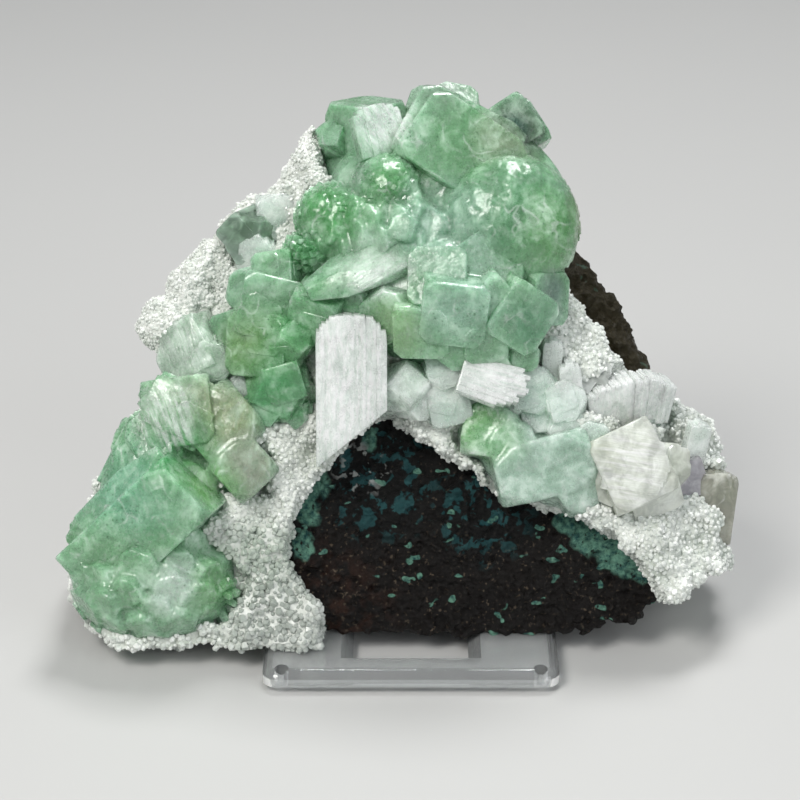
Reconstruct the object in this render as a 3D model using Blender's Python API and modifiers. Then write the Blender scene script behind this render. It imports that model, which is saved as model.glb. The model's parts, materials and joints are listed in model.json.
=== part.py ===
"""A mineral specimen: green apophyllite, white stilbite and a druse crust on basalt, on a clear base plate.

The cluster is laid out in a frame of its own whose XY plane is the cluster's face: X runs right, Y runs up
the face and Z comes out of it. An empty leans that frame back onto the base plate. World +Z is up, and
+Y points away from whoever looks at the face.
"""

import math
import random

import bmesh
import bpy
from mathutils import Euler, Matrix, Vector

MM = 0.001

# How far the face leans back from upright, and the gap between pieces that touch
LEAN = math.radians(25)
GAP = 0.3 * MM

# Base plate
PLATE_WIDTH = 55.5 * MM
PLATE_DEPTH = 60 * MM
PLATE_THICK = 4 * MM
PLATE_CORNER = 3 * MM
PLATE_EDGE_BEVEL = 0.3 * MM
# Its window: the bar in front of it, the slope of its rim, and the straight opening inside that
FRONT_BAR = 6 * MM
WINDOW_BEVEL = 2.3 * MM
WINDOW_WIDTH = 21.8 * MM
WINDOW_DEPTH = 38 * MM
HOLE_DIAMETER = 2.6 * MM
HOLE_FROM_SIDE = 3.6 * MM
HOLE_FROM_FRONT = 2.4 * MM
# How far behind the plate's front edge the rock stands, and how far the plate's middle is to its right
ROCK_FROM_FRONT = 13 * MM
PLATE_RIGHT_BY = 1.3 * MM

# The steepness in degrees of the pyramid that cuts a square crystal's corners
PYRAMID_SLOPE = 58
# A blade's top slopes down from this share of its width, and its front edges are cut at this share of its depth
BLADE_TOP_SHARE = 0.55
BLADE_EDGE_SHARE = 0.3

# World directions as the face's own frame sees them
UP = Vector((0, math.cos(LEAN), math.sin(LEAN)))
BACK = Vector((0, math.sin(LEAN), -math.cos(LEAN)))

# The rock: its depth at the foot, the width of its back between the two slanted sides, and how steep those are
ROCK_DEPTH = 50 * MM
ROCK_BACK_WIDTH = 84 * MM
ROCK_BACK_SLANT = 0.6
ROCK_BACK_LEAN = 0.08
# Rough solids: the spacing of their even mesh, how far the wide and the narrow noise move it, where between out
# (0) and in (1) they do, and the share of its faces that stay
WIDE_NOISE = 14 * MM
NARROW_NOISE = 4 * MM
ROCK_SURFACE = (2.2 * MM, 2 * MM, 1 * MM, 1.0, 0.13)
CRUST_SURFACE = (2 * MM, 3 * MM, 1.6 * MM, 0.6, 0.16)
# How far the rock's block reaches below its foot before it is cut off flat
ROCK_SPARE = 4 * MM

# The rock as a block cut by planes: a point on each plane in mm, and the plane's outward direction
ROCK_PLANES = (
    ((0, 0, 0), (0, 0, 1)),
    ((-36, 30, 0), (-0.5, 0.25, 0.83)),
    ((-57.5, 23.6, 0), (-0.855, 0.518, -0.05)),
    ((-59, 12, 0), (-1, 0, 0)),
    ((-53, 0, 0), (-0.77, -0.64, 0)),
    ((40, 30, 0), (0.5, 0.25, 0.83)),
    ((49.5, 52, 0), (0.855, 0.518, 0)),
    ((58, 15, 0), (0.98, 0.1, 0)),
    ((52.5, 8.5, 0), (0.69, -0.72, 0)),
    ((14, 80, 0), (0.1, 0.6, 0.8)),
    ((0, 93, 0), (0, 1, 0)),
    ((37, 0, 0), (0.26, -0.87, -0.41)),
)

# The bare patch where the rock shows, as an outline on the face in mm, and how deep it is cut
PATCH_DEPTH = 20 * MM
SHOULDER_DEPTH = 60 * MM
CUT_HEIGHT = 60 * MM
BARE_PATCH = (
    (-3, 43.3), (0.5, 39.5), (5, 37.6), (10.6, 32.9), (18.2, 27.2), (26.8, 24.3), (33.4, 22.8),
    (39, 19.6), (44.8, 14.8), (48, 11), (51, 6), (51, -14), (-15, -14), (-16, 6), (-21.7, 12),
    (-23, 17), (-20, 27), (-16, 32), (-10, 37.6),
)
# The druse crust: its thickness, the part of it that runs on under the crystals, how far back it reaches and
# the slant of that edge, its lift off the base plate, and its swellings as centre and radii in mm
CRUST_THICK = 5 * MM
CRYSTAL_BED = 1.8 * MM
CRUST_REACH = 30 * MM
CRUST_BACK_SLANT = 0.35
CRUST_LIFT = 0.6 * MM
# The gap under the crust is a little wider, so that its rough inside stays clear of the rock
CRUST_GAP = 0.45 * MM
CRUST_LUMPS = (
    ((-38, 9, -4), (23, 12, 9)),
    ((-27, 34, -4), (12, 17, 8)),
    ((-27, 70, -8), (13, 15, 7)),
    ((-14, 20, -6), (7, 22, 7)),
    ((33, 62, -8), (10, 13, 7)),
    ((8, 47, -4), (20, 10, 7)),
    ((34, 36, -5), (16, 11, 7)),
    ((52, 18, -8), (11, 13, 9)),
)
# The right shoulder, where the crust stops and the rock sticks out
BARE_SHOULDER = (
    (27, 90), (27, 76), (29, 69), (33, 64), (35.3, 59.5), (39, 54.7), (43, 49.4), (51, 46), (64, 38),
    (64, 90),
)

# A square crystal: middle of its tip in mm, width, length, the way it points, its turn about its own axis in
# degrees, and the share of its width that its flat tip keeps
CENTRE_CRYSTALS = (
    # big smooth block at the top, with a pale dome and a small tabular block behind it
    ((10.8, 92.5, 7), 19, 20, (0.08, 0.3, 0.95), 8, 0.9),
    ((7.0, 101.5, -1), 14, 13, (0.0, 0.45, 0.88), 38, 0.6),
    ((21.6, 98.5, 0), 8.5, 11, (0.35, 0.45, 0.83), 20, 0.9),
    # top left block
    ((-9, 94.5, 4), 15, 16, (-0.3, 0.3, 0.9), 15, 0.85),
    ((-1, 97, 4), 9, 14, (0.0, 0.35, 0.93), 4, 0.8),
    ((-14.5, 97, -1), 7, 11, (-0.45, 0.4, 0.8), 30, 0.7),
    # middle, with the broken sparkling face
    ((4.8, 70.5, 17), 15, 18, (-0.05, -0.1, 1), 30, 0.8),
    ((-9, 64.5, 13), 12, 14, (-0.2, -0.3, 0.93), 15, 0.6),
    ((-18, 73.5, 8), 9, 12, (-0.5, -0.1, 0.86), 25, 0.5),
    ((4.2, 81.5, 9), 11, 12, (0.0, 0.0, 1), 20, 0.8),
    # big mass at the lower right
    ((9.5, 60.5, 18), 17, 19, (0.0, -0.2, 0.97), 8, 0.8),
    ((19.5, 61.5, 17), 17, 19, (0.15, -0.15, 0.97), 35, 0.85),
    ((26.5, 66, 9), 9, 13, (0.35, 0.0, 0.93), 10, 0.6),
    ((16, 52.3, 11), 8, 11, (0.05, -0.35, 0.93), 22, 0.7),
    ((22.6, 53, 9), 7, 10, (0.2, -0.3, 0.93), 45, 0.7),
    # left wedges
    ((-23.9, 67.4, 9), 11.5, 13, (-0.25, 0.1, 0.96), 20, 0.6),
    ((-29.8, 65.8, 4), 9, 11, (-0.45, 0.05, 0.88), 40, 0.5),
    ((-19.3, 58.5, 9), 11, 12, (-0.15, -0.2, 0.96), 5, 0.4),
    ((-25.8, 55.6, 8), 13, 13, (-0.25, -0.2, 0.95), 12, 0.35),
    ((-32.3, 57.4, 3), 9.5, 11, (-0.45, -0.05, 0.88), 30, 0.5),
    # darker cracked crystal under them
    ((-23, 46.4, 8), 12, 11, (-0.05, -0.25, 0.96), 28, 0.7),
    ((-27, 43.4, 6), 8, 9, (-0.25, -0.3, 0.9), 5, 0.7),
)
# Fans that spread from one root: root in mm, width, length, axis, spread in degrees, how many round the middle,
# their tips' share, and the seed of their small differences
CENTRE_FANS = (
    ((18.5, 80, -3), 13.5, 19, (0.1, 0.0, 1), 36, 8, 0.7, 3),
    ((-5, 80.5, -3), 11, 17, (-0.12, 0.1, 1), 38, 8, 0.5, 5),
)
CRYSTAL_GROUPS = {
    "clear_block": (
        ((43.6, 32.8, 9), 14, 15, (0.12, 0.05, 0.99), 6, 0.9),
        ((50.6, 32.3, 4), 11, 13, (0.3, 0.0, 0.95), 18, 0.7),
    ),
    "apophyllite_right_lobe": (
        ((15.6, 39.4, 8), 11, 10, (-0.05, 0.05, 0.99), 15, 0.6),
        ((21.5, 35, 9), 12, 11, (0.1, -0.05, 0.99), 40, 0.7),
        ((28, 30.8, 9), 14, 13, (0.15, -0.1, 0.98), 20, 0.7),
        ((33.6, 28.8, 6), 11, 11, (0.25, -0.2, 0.94), 5, 0.6),
    ),
    "apophyllite_shoulder": (
        ((-30.4, 76.5, 0), 10, 11, (-0.3, 0.2, 0.93), 25, 0.7),
    ),
    "apophyllite_pale_left": (
        ((-42, 54.5, 2), 12, 12, (-0.35, 0.2, 0.9), 32, 0.6),
        ((-36.6, 52, 4), 8, 11, (-0.2, 0.1, 0.97), 12, 0.7),
    ),
    "apophyllite_lower_left": (
        ((-43, 43, 8), 13, 14, (-0.25, 0.15, 0.95), 24, 0.6),
        ((-33.5, 43, 8), 10, 12, (-0.1, 0.1, 0.99), 8, 0.6),
        ((-53.5, 38.5, 0), 8, 13, (-0.45, 0.45, 0.75), 30, 0.5),
        ((-29.1, 32, 9), 9, 10, (0.05, 0.05, 1), 42, 0.7),
        ((-49, 30, 11), 21, 20, (-0.3, 0.2, 0.93), 36, 0.3),
        ((-57.5, 21, 3), 15, 15, (-0.4, 0.0, 0.9), 10, 0.5),
        ((-55.5, 11, 5), 15, 15, (-0.35, -0.15, 0.92), 30, 0.6),
        ((-45.5, 10.5, 12), 17, 16, (-0.15, -0.15, 0.97), 20, 0.6),
        ((-36.5, 8.6, 10), 12, 12, (0.05, -0.15, 0.98), 44, 0.6),
        ((-47, 19, 9), 13, 14, (-0.2, 0.0, 0.97), 0, 0.5),
    ),
    "apophyllite_by_blade": (
        ((0.6, 48, 9), 10, 11, (0.03, 0.1, 0.99), 30, 0.6),
    ),
    "apophyllite_right_edge": (
        ((61, 28, -7), 6, 6, (0.4, 0.1, 0.9), 10, 0.6),
    ),
    "purple_grey_crystal": (
        ((54.5, 30, -1.5), 8, 9, (0.4, -0.1, 0.9), 30, 0.7),
    ),
}

# A blade: middle of its foot in mm, width, thickness, height, the way it grows, the way it faces
BLADES = {
    "stilbite_blade": ((-10, 35, 5), 13, 4.5, 27, (0.0, 1, 0.12), (0.05, -0.1, 1)),
    "stilbite_finger_left": ((27.5, 48, 2), 3.6, 3, 10, (0.05, 1, 0.5), (0, -0.4, 1)),
    "stilbite_finger_right": ((32, 42, 2), 4, 3, 11.5, (-0.12, 1, 0.4), (0.1, -0.4, 1)),
    "tabular_crystal": ((58.5, 18, -7), 6.8, 5, 14, (0.12, 1, 0.15), (0.25, -0.1, 1)),
    "edge_finger": ((55, 34, -5), 4.2, 3.4, 8, (0.2, 1, 0.4), (0.3, -0.4, 1)),
}
# The striated sheaf at the right: blades side by side, from its left end to its right end
SHEAF_FROM = (36, 41, 0)
SHEAF_TO = (49, 40.5, -6)
SHEAF_BLADES = 5
SHEAF_WIDTH = 5
SHEAF_THICKNESS = 4
SHEAF_HEIGHT = 10

# Colour, roughness and see-through share of each material
LOOKS = {
    "acrylic": ((0.9, 0.92, 0.92), 0.05, 0.95),
    "basalt": ((0.028, 0.022, 0.018), 0.85, 0),
    "druse": ((0.62, 0.66, 0.6), 0.6, 0),
    "green_apophyllite": ((0.18, 0.42, 0.22), 0.2, 0.6),
    "pale_apophyllite": ((0.42, 0.58, 0.45), 0.2, 0.6),
    "white_stilbite": ((0.72, 0.78, 0.74), 0.35, 0.2),
    "yellowish_crystal": ((0.56, 0.6, 0.5), 0.15, 0.6),
}
MATERIAL_OF = {
    "base_plate": "acrylic",
    "basalt_matrix": "basalt",
    "druse_crust": "druse",
    "apophyllite_pale_left": "pale_apophyllite",
    "apophyllite_by_blade": "pale_apophyllite",
    "clear_block": "yellowish_crystal",
    "tabular_crystal": "yellowish_crystal",
    "purple_grey_crystal": "yellowish_crystal",
    "edge_finger": "white_stilbite",
}


def clear_scene():
    for obj in list(bpy.data.objects):
        bpy.data.objects.remove(obj, do_unlink=True)


def new_collection(name):
    collection = bpy.data.collections.new(name)
    bpy.context.scene.collection.children.link(collection)
    return collection


def new_material(name):
    colour, roughness, transmission = LOOKS[name]
    material = bpy.data.materials.new(name)
    material.use_nodes = True
    shader = material.node_tree.nodes["Principled BSDF"]
    shader.inputs["Base Color"].default_value = (*colour, 1)
    shader.inputs["Roughness"].default_value = roughness
    shader.inputs["Metallic"].default_value = 0
    shader.inputs["Transmission Weight"].default_value = transmission
    return material


def new_object(name, bm, collection):
    mesh = bpy.data.meshes.new(name)
    bm.to_mesh(mesh)
    bm.free()
    obj = bpy.data.objects.new(name, mesh)
    collection.objects.link(obj)
    return obj


def bmesh_of(obj):
    bm = bmesh.new()
    bm.from_mesh(obj.data)
    return bm


def apply_modifiers(obj):
    """Gives obj the mesh that its modifiers make, and drops them."""
    bpy.context.view_layer.update()
    graph = bpy.context.evaluated_depsgraph_get()
    mesh = bpy.data.meshes.new_from_object(obj.evaluated_get(graph))
    obj.modifiers.clear()
    obj.data = mesh


def boolean(obj, other, operation, solver="EXACT"):
    """The exact solver loses parts of the rough rock and crust, which take the manifold one."""
    modifier = obj.modifiers.new(operation.title(), "BOOLEAN")
    modifier.operation = operation
    modifier.object = other
    modifier.solver = solver


def cut_block(planes, gap=0.0):
    """A box trimmed to the inside of every plane, each moved outward by gap: (point, outward direction)."""
    bm = bmesh.new()
    bmesh.ops.create_cube(bm, size=400 * MM)
    for point, direction in planes:
        normal = Vector(direction).normalized()
        geometry = bm.verts[:] + bm.edges[:] + bm.faces[:]
        bmesh.ops.bisect_plane(
            bm, geom=geometry, dist=1e-7, plane_co=Vector(point) + normal * gap, plane_no=normal,
            clear_outer=True,
        )
        rim = [edge for edge in bm.edges if edge.is_boundary]
        if rim:
            bmesh.ops.holes_fill(bm, edges=rim, sides=0)
    bmesh.ops.recalc_face_normals(bm, faces=bm.faces[:])
    return bm


def square_crystal(row, gap):
    """An apophyllite crystal: a square prism, its corners cut by a steep pyramid with a blunt tip."""
    middle, width, length, towards, turn, share = row
    half = width * MM / 2
    tip = length * MM
    slope = math.radians(PYRAMID_SLOPE)
    planes = [((0, 0, 0), (0, 0, -1)), ((0, 0, tip), (0, 0, 1))]
    for quarter in range(4):
        side = Euler((0, 0, quarter * math.pi / 2)).to_matrix()
        planes.append((side @ Vector((half, 0, 0)), side @ Vector((1, 0, 0))))
        corner = Euler((0, 0, (quarter + 0.5) * math.pi / 2)).to_matrix()
        planes.append((
            corner @ Vector((half * share, 0, tip)),
            corner @ Vector((math.sin(slope), 0, math.cos(slope))),
        ))
    bm = cut_block(planes, gap)
    axis = Vector(towards).normalized()
    place = Matrix.Translation(Vector(middle) * MM - axis * tip)
    turned = axis.to_track_quat("Z", "Y").to_matrix().to_4x4()
    bm.transform(place @ turned @ Matrix.Rotation(math.radians(turn), 4, "Z"))
    return bm


def blade_crystal(row, gap):
    """A stilbite blade: a flat prism whose top is a low blunt point."""
    foot, width, thickness, height, upward, outward = row
    half = width * MM / 2
    deep = thickness * MM / 2
    tip = height * MM
    planes = [((0, 0, 0), (0, 0, -1)), ((0, 0, tip), (0, 0, 1))]
    for side in (-1, 1):
        planes.append(((side * half, 0, 0), (side, 0, 0)))
        planes.append(((0, side * deep, 0), (0, side, 0)))
        planes.append(((side * half * BLADE_TOP_SHARE, 0, tip), (side * 0.6, 0, 0.8)))
        planes.append(((side * half, -deep * (1 - BLADE_EDGE_SHARE), 0), (side * 0.7, -0.7, 0)))
    bm = cut_block(planes, gap)
    grow = Vector(upward).normalized()
    right = Vector(outward).cross(grow).normalized()
    turned = Matrix((right, grow.cross(right), grow)).transposed().to_4x4()
    bm.transform(Matrix.Translation(Vector(foot) * MM) @ turned)
    return bm


def fan(root, width, length, axis, spread, count, share, seed):
    """Rows for crystals that spread from one root: one along the axis and the others in a ring round it."""
    chance = random.Random(seed)
    middle = Vector(axis).normalized()
    side = middle.orthogonal().normalized()
    rows = [(tuple(Vector(root) + middle * length), width, length, tuple(middle), 12, share)]
    for number in range(count):
        turn = Matrix.Rotation(math.tau * number / count + chance.uniform(-0.2, 0.2), 3, middle)
        lean = Matrix.Rotation(math.radians(spread) * chance.uniform(0.8, 1.1), 3, side)
        towards = turn @ (lean @ middle)
        size = chance.uniform(0.75, 0.95)
        # Lengths differ a little too, so that no two crystals share a corner
        reach = length * size + chance.uniform(-1, 1)
        tip = Vector(root) + towards * reach
        rows.append((tuple(tip), width * size, length * size, tuple(towards), chance.uniform(0, 90), share))
    return rows


def grown_together(name, meshes, collection):
    """One solid from crystals that overlap."""
    pieces = [new_object(f"{name}_{number}", bm, collection) for number, bm in enumerate(meshes)]
    whole = pieces[0]
    for piece in pieces[1:]:
        boolean(whole, piece, "UNION")
        apply_modifiers(whole)
        bpy.data.objects.remove(piece, do_unlink=True)
    whole.name = name
    return whole


def spread_of(verts):
    """The diagonal of the box around these vertices."""
    return Vector(max(v.co[k] for v in verts) - min(v.co[k] for v in verts) for k in range(3)).length


def keep_largest_body(obj):
    """Drops scraps that a cut leaves loose."""
    bm = bmesh_of(obj)
    left = set(bm.verts)
    bodies = []
    while left:
        body = set()
        front = [left.pop()]
        while front:
            vert = front.pop()
            body.add(vert)
            for edge in vert.link_edges:
                other = edge.other_vert(vert)
                if other in left:
                    left.remove(other)
                    front.append(other)
        bodies.append(body)
    bodies.sort(key=spread_of)
    for body in bodies[:-1]:
        bmesh.ops.delete(bm, geom=list(body), context="VERTS")
    bm.to_mesh(obj.data)
    bm.free()


def rough_surface(obj, surface):
    """Breaks flat faces into uneven ones: an even mesh, pushed in and out by two noises, then thinned."""
    voxel, wide, narrow, middle, share = surface
    remesh = obj.modifiers.new("Even mesh", "REMESH")
    remesh.mode = "VOXEL"
    remesh.voxel_size = voxel
    for kind, size, strength in (("CLOUDS", WIDE_NOISE, wide), ("VORONOI", NARROW_NOISE, narrow)):
        texture = bpy.data.textures.new(f"{obj.name}_{kind.lower()}", kind)
        texture.noise_scale = size
        push = obj.modifiers.new(f"Push {kind.lower()}", "DISPLACE")
        push.texture = texture
        push.texture_coords = "LOCAL"
        push.strength = strength
        push.mid_level = middle
    thin = obj.modifiers.new("Thin out", "DECIMATE")
    thin.ratio = share
    apply_modifiers(obj)


def outline_prism(name, outline, low, high, collection):
    """A solid with this outline on the face, from low to high."""
    bm = bmesh.new()
    face = bm.faces.new([bm.verts.new((x * MM, y * MM, low)) for x, y in outline])
    grown = bmesh.ops.extrude_face_region(bm, geom=[face])
    top = [item for item in grown["geom"] if isinstance(item, bmesh.types.BMVert)]
    bmesh.ops.translate(bm, verts=top, vec=(0, 0, high - low))
    bmesh.ops.recalc_face_normals(bm, faces=bm.faces[:])
    return new_object(name, bm, collection)


def rock_planes(spare):
    """The rock's planes, with its underside this far below the base plate's top."""
    planes = [(Vector(point) * MM, direction) for point, direction in ROCK_PLANES]
    planes.append((-UP * spare, -UP))
    planes.append((BACK * ROCK_DEPTH, BACK + UP * ROCK_BACK_LEAN))
    for side in (-1, 1):
        corner = BACK * ROCK_DEPTH + Vector((side * ROCK_BACK_WIDTH / 2, 0, 0))
        planes.append((corner, BACK + Vector((side * ROCK_BACK_SLANT, 0, 0))))
    return planes


def cut_away(obj, planes, helpers):
    """Takes the inside of these planes away from a rough solid."""
    cutter = new_object(f"{obj.name}_cut", cut_block(planes), helpers)
    boolean(obj, cutter, "DIFFERENCE", "MANIFOLD")
    apply_modifiers(obj)
    bpy.data.objects.remove(cutter, do_unlink=True)


def make_rock(collection, helpers):
    rock = new_object("basalt_matrix", cut_block(rock_planes(ROCK_SPARE)), collection)
    rough_surface(rock, ROCK_SURFACE)
    # The underside is flat where the rock stands on the plate
    cut_away(rock, [((0, 0, 0), UP)], helpers)
    return rock


def make_crust(rock, cutters, collection, helpers):
    """The druse skin: the rock's planes moved outward, with lumps, less the rock and every crystal."""
    bm = cut_block(rock_planes(ROCK_SPARE), CRUST_THICK)
    for centre, radii in CRUST_LUMPS:
        place = Matrix.Translation(Vector(centre) * MM) @ Matrix.Diagonal((*(Vector(radii) * MM), 1))
        bmesh.ops.create_icosphere(bm, subdivisions=3, radius=1, matrix=place)
    crust = new_object("druse_crust", bm, collection)
    rough_surface(crust, CRUST_SURFACE)
    bed = new_object("bed_cut", bmesh_of(rock), helpers)
    swell = bed.modifiers.new("Gap", "DISPLACE")
    swell.strength = CRUST_GAP
    swell.mid_level = 0
    patch = outline_prism("bare_patch_cut", BARE_PATCH, -PATCH_DEPTH, CUT_HEIGHT, helpers)
    shoulder = outline_prism("bare_shoulder_cut", BARE_SHOULDER, -SHOULDER_DEPTH, CUT_HEIGHT, helpers)
    for cutter in (bed, patch, shoulder, *cutters):
        boolean(crust, cutter, "DIFFERENCE", "MANIFOLD")
        apply_modifiers(crust)
    cut_away(crust, [(BACK * CRUST_REACH, -BACK + UP * CRUST_BACK_SLANT)], helpers)
    cut_away(crust, [(UP * CRUST_LIFT, UP)], helpers)
    keep_largest_body(crust)
    for cutter in (bed, patch, shoulder):
        bpy.data.objects.remove(cutter, do_unlink=True)
    return crust


def sheaf_rows():
    """Blades side by side whose tops open out a little, like a fan."""
    start, end = Vector(SHEAF_FROM), Vector(SHEAF_TO)
    rows = []
    for number in range(SHEAF_BLADES):
        along = number / (SHEAF_BLADES - 1)
        foot = start.lerp(end, along)
        height = SHEAF_HEIGHT * (1 - (along - 0.4) ** 2)
        grows = (0.5 * (along - 0.5), 1, 0.55)
        faces = (0.2 * along, -0.4, 1)
        rows.append((tuple(foot), SHEAF_WIDTH, SHEAF_THICKNESS, height, grows, faces))
    return rows


def crystal_layout():
    """Each crystal node as name, rows and maker. One that overlaps another gives way if it comes later."""
    layout = [(name, [row], blade_crystal) for name, row in BLADES.items()]
    layout.append(("stilbite_sheaf", sheaf_rows(), blade_crystal))
    layout += [(name, rows, square_crystal) for name, rows in CRYSTAL_GROUPS.items()]
    centre = list(CENTRE_CRYSTALS)
    for row in CENTRE_FANS:
        centre += fan(*row)
    layout.append(("apophyllite_centre", centre, square_crystal))
    return layout


def make_crystals(collection, helpers):
    """Makes every crystal node, and gives back the slightly larger shapes that make room for them."""
    bed = new_object("crystal_bed", cut_block(rock_planes(0), CRYSTAL_BED), helpers)
    rooms = []
    for name, rows, maker in crystal_layout():
        node = grown_together(name, [maker(row, 0.0) for row in rows], collection)
        for other in (bed, *rooms):
            boolean(node, other, "DIFFERENCE")
            apply_modifiers(node)
        keep_largest_body(node)
        rooms.append(grown_together(f"{name}_room", [maker(row, GAP) for row in rows], helpers))
    bpy.data.objects.remove(bed, do_unlink=True)
    return rooms


def box(name, width, depth, low, high, collection):
    bm = bmesh.new()
    place = Matrix.Translation((0, 0, (low + high) / 2)) @ Matrix.Diagonal((width, depth, high - low, 1))
    bmesh.ops.create_cube(bm, size=1, matrix=place)
    return new_object(name, bm, collection)


def make_plate(collection, helpers):
    """The clear sheet, its top at Z 0 and its middle at the origin."""
    plate = box("base_plate", PLATE_WIDTH, PLATE_DEPTH, -PLATE_THICK, 0, collection)
    bm = bmesh_of(plate)
    upright = [edge for edge in bm.edges if abs(edge.verts[0].co.z - edge.verts[1].co.z) > PLATE_THICK / 2]
    bmesh.ops.bevel(bm, geom=upright, offset=PLATE_CORNER, segments=4, profile=0.5, affect="EDGES")
    bm.to_mesh(plate.data)
    bm.free()
    soften = plate.modifiers.new("Edges", "BEVEL")
    soften.width = PLATE_EDGE_BEVEL
    soften.segments = 1
    soften.limit_method = "ANGLE"
    soften.angle_limit = math.radians(60)
    apply_modifiers(plate)

    window_y = -PLATE_DEPTH / 2 + FRONT_BAR + WINDOW_BEVEL + WINDOW_DEPTH / 2
    window = box("window_cut", WINDOW_WIDTH, WINDOW_DEPTH, -2 * PLATE_THICK, PLATE_THICK, helpers)
    # The rim's slope: a box whose top is wider than its foot
    rim = box("window_rim_cut", WINDOW_WIDTH, WINDOW_DEPTH, -WINDOW_BEVEL, PLATE_THICK, helpers)
    spread = (PLATE_THICK + WINDOW_BEVEL) * 2
    for vert in rim.data.vertices:
        if vert.co.z > 0:
            vert.co.x *= 1 + spread / WINDOW_WIDTH
            vert.co.y *= 1 + spread / WINDOW_DEPTH
    cutters = [window, rim]
    for cutter in cutters:
        cutter.location.y = window_y
    for x in (-1, 1):
        for y in (-1, 1):
            bm = bmesh.new()
            bmesh.ops.create_cone(
                bm, cap_ends=True, segments=12, radius1=HOLE_DIAMETER / 2, radius2=HOLE_DIAMETER / 2,
                depth=4 * PLATE_THICK,
            )
            hole = new_object("hole_cut", bm, helpers)
            hole.location.x = x * (PLATE_WIDTH / 2 - HOLE_FROM_SIDE)
            hole.location.y = y * (PLATE_DEPTH / 2 - HOLE_FROM_FRONT)
            cutters.append(hole)
    for cutter in cutters:
        boolean(plate, cutter, "DIFFERENCE")
        apply_modifiers(plate)
        bpy.data.objects.remove(cutter, do_unlink=True)
    plate.location = (PLATE_RIGHT_BY, PLATE_DEPTH / 2 - ROCK_FROM_FRONT, -GAP)
    return plate


def set_on_origin(objects, root):
    """Moves everything so that the middle of its box's underside is at the world origin."""
    bpy.context.view_layer.update()
    points = [obj.matrix_world @ vert.co for obj in objects for vert in obj.data.vertices]
    low = Vector(min(point[axis] for point in points) for axis in range(3))
    high = Vector(max(point[axis] for point in points) for axis in range(3))
    root.location = -Vector(((low.x + high.x) / 2, (low.y + high.y) / 2, low.z))


def main():
    clear_scene()
    parts = new_collection("apophyllite_cluster")
    helpers = new_collection("helpers")
    helpers.hide_render = True
    rock = make_rock(parts, helpers)
    rooms = make_crystals(parts, helpers)
    make_crust(rock, rooms, parts, helpers)
    for room in rooms:
        bpy.data.objects.remove(room, do_unlink=True)

    root = bpy.data.objects.new("cluster_origin", None)
    face = bpy.data.objects.new("leaning_face", None)
    for empty in (root, face):
        parts.objects.link(empty)
    face.parent = root
    face.rotation_euler.x = math.pi / 2 - LEAN
    for obj in parts.objects:
        if obj.type == "MESH":
            obj.parent = face
    make_plate(parts, helpers).parent = root
    solids = [obj for obj in parts.objects if obj.type == "MESH"]
    materials = {name: new_material(name) for name in LOOKS}
    for obj in solids:
        obj.data.materials.clear()
        stilbite = "white_stilbite" if "stilbite" in obj.name else "green_apophyllite"
        obj.data.materials.append(materials[MATERIAL_OF.get(obj.name, stilbite)])
    set_on_origin(solids, root)


main()
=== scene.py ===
# Looks for the apophyllite cluster: crystals, druse, basalt and the acrylic base plate
import json
import math
import random

import bpy
from mathutils import Matrix, Vector
from mathutils.bvhtree import BVHTree

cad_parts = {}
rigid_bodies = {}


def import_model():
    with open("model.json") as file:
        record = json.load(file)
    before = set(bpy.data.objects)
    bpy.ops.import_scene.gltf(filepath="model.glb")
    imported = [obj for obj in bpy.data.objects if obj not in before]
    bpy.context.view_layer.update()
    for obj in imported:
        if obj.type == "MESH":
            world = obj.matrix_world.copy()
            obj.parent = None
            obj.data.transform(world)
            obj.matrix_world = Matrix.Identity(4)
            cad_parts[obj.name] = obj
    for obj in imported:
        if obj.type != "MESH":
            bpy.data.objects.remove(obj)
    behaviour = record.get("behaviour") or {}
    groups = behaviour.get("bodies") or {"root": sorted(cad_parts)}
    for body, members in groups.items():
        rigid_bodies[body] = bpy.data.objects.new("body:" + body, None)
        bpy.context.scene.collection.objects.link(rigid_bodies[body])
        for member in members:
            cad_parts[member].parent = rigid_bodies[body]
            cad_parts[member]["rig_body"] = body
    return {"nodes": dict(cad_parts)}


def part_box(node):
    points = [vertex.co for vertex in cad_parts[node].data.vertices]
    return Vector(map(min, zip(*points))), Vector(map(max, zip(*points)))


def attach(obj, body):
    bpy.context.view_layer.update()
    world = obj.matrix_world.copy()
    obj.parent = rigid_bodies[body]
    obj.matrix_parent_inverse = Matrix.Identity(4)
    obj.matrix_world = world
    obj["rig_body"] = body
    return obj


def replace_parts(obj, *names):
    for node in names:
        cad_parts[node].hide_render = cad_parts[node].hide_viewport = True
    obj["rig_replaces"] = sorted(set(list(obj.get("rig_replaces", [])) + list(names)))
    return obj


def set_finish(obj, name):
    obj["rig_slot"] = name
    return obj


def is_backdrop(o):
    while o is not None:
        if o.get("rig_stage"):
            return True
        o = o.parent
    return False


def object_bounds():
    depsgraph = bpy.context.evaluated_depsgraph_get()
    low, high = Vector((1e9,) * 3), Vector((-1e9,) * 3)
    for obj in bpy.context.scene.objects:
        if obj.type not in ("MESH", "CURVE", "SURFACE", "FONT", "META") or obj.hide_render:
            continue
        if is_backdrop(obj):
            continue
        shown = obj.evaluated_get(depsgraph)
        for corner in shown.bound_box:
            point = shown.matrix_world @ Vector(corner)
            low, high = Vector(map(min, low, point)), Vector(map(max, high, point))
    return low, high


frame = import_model()
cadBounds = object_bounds()
print("frame loaded")

mm = 0.001
# The dark face of the rock leans back. Places on it are in mm: x right, y up the face, z out of it.
face = {"lean": 25, "origin": (0.08, -23.271, 4.3)}
faceTurn = Matrix.Rotation(math.radians(90 - face["lean"]), 4, "X")
faceToWorld = Matrix.Translation(Vector(face["origin"]) * mm) @ faceTurn @ Matrix.Scale(mm, 4)


def onFace(place):
    return faceToWorld @ Vector(place)


# Selecting, applying and joining

def deselectAll():
    bpy.ops.object.select_all(action="DESELECT")


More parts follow.
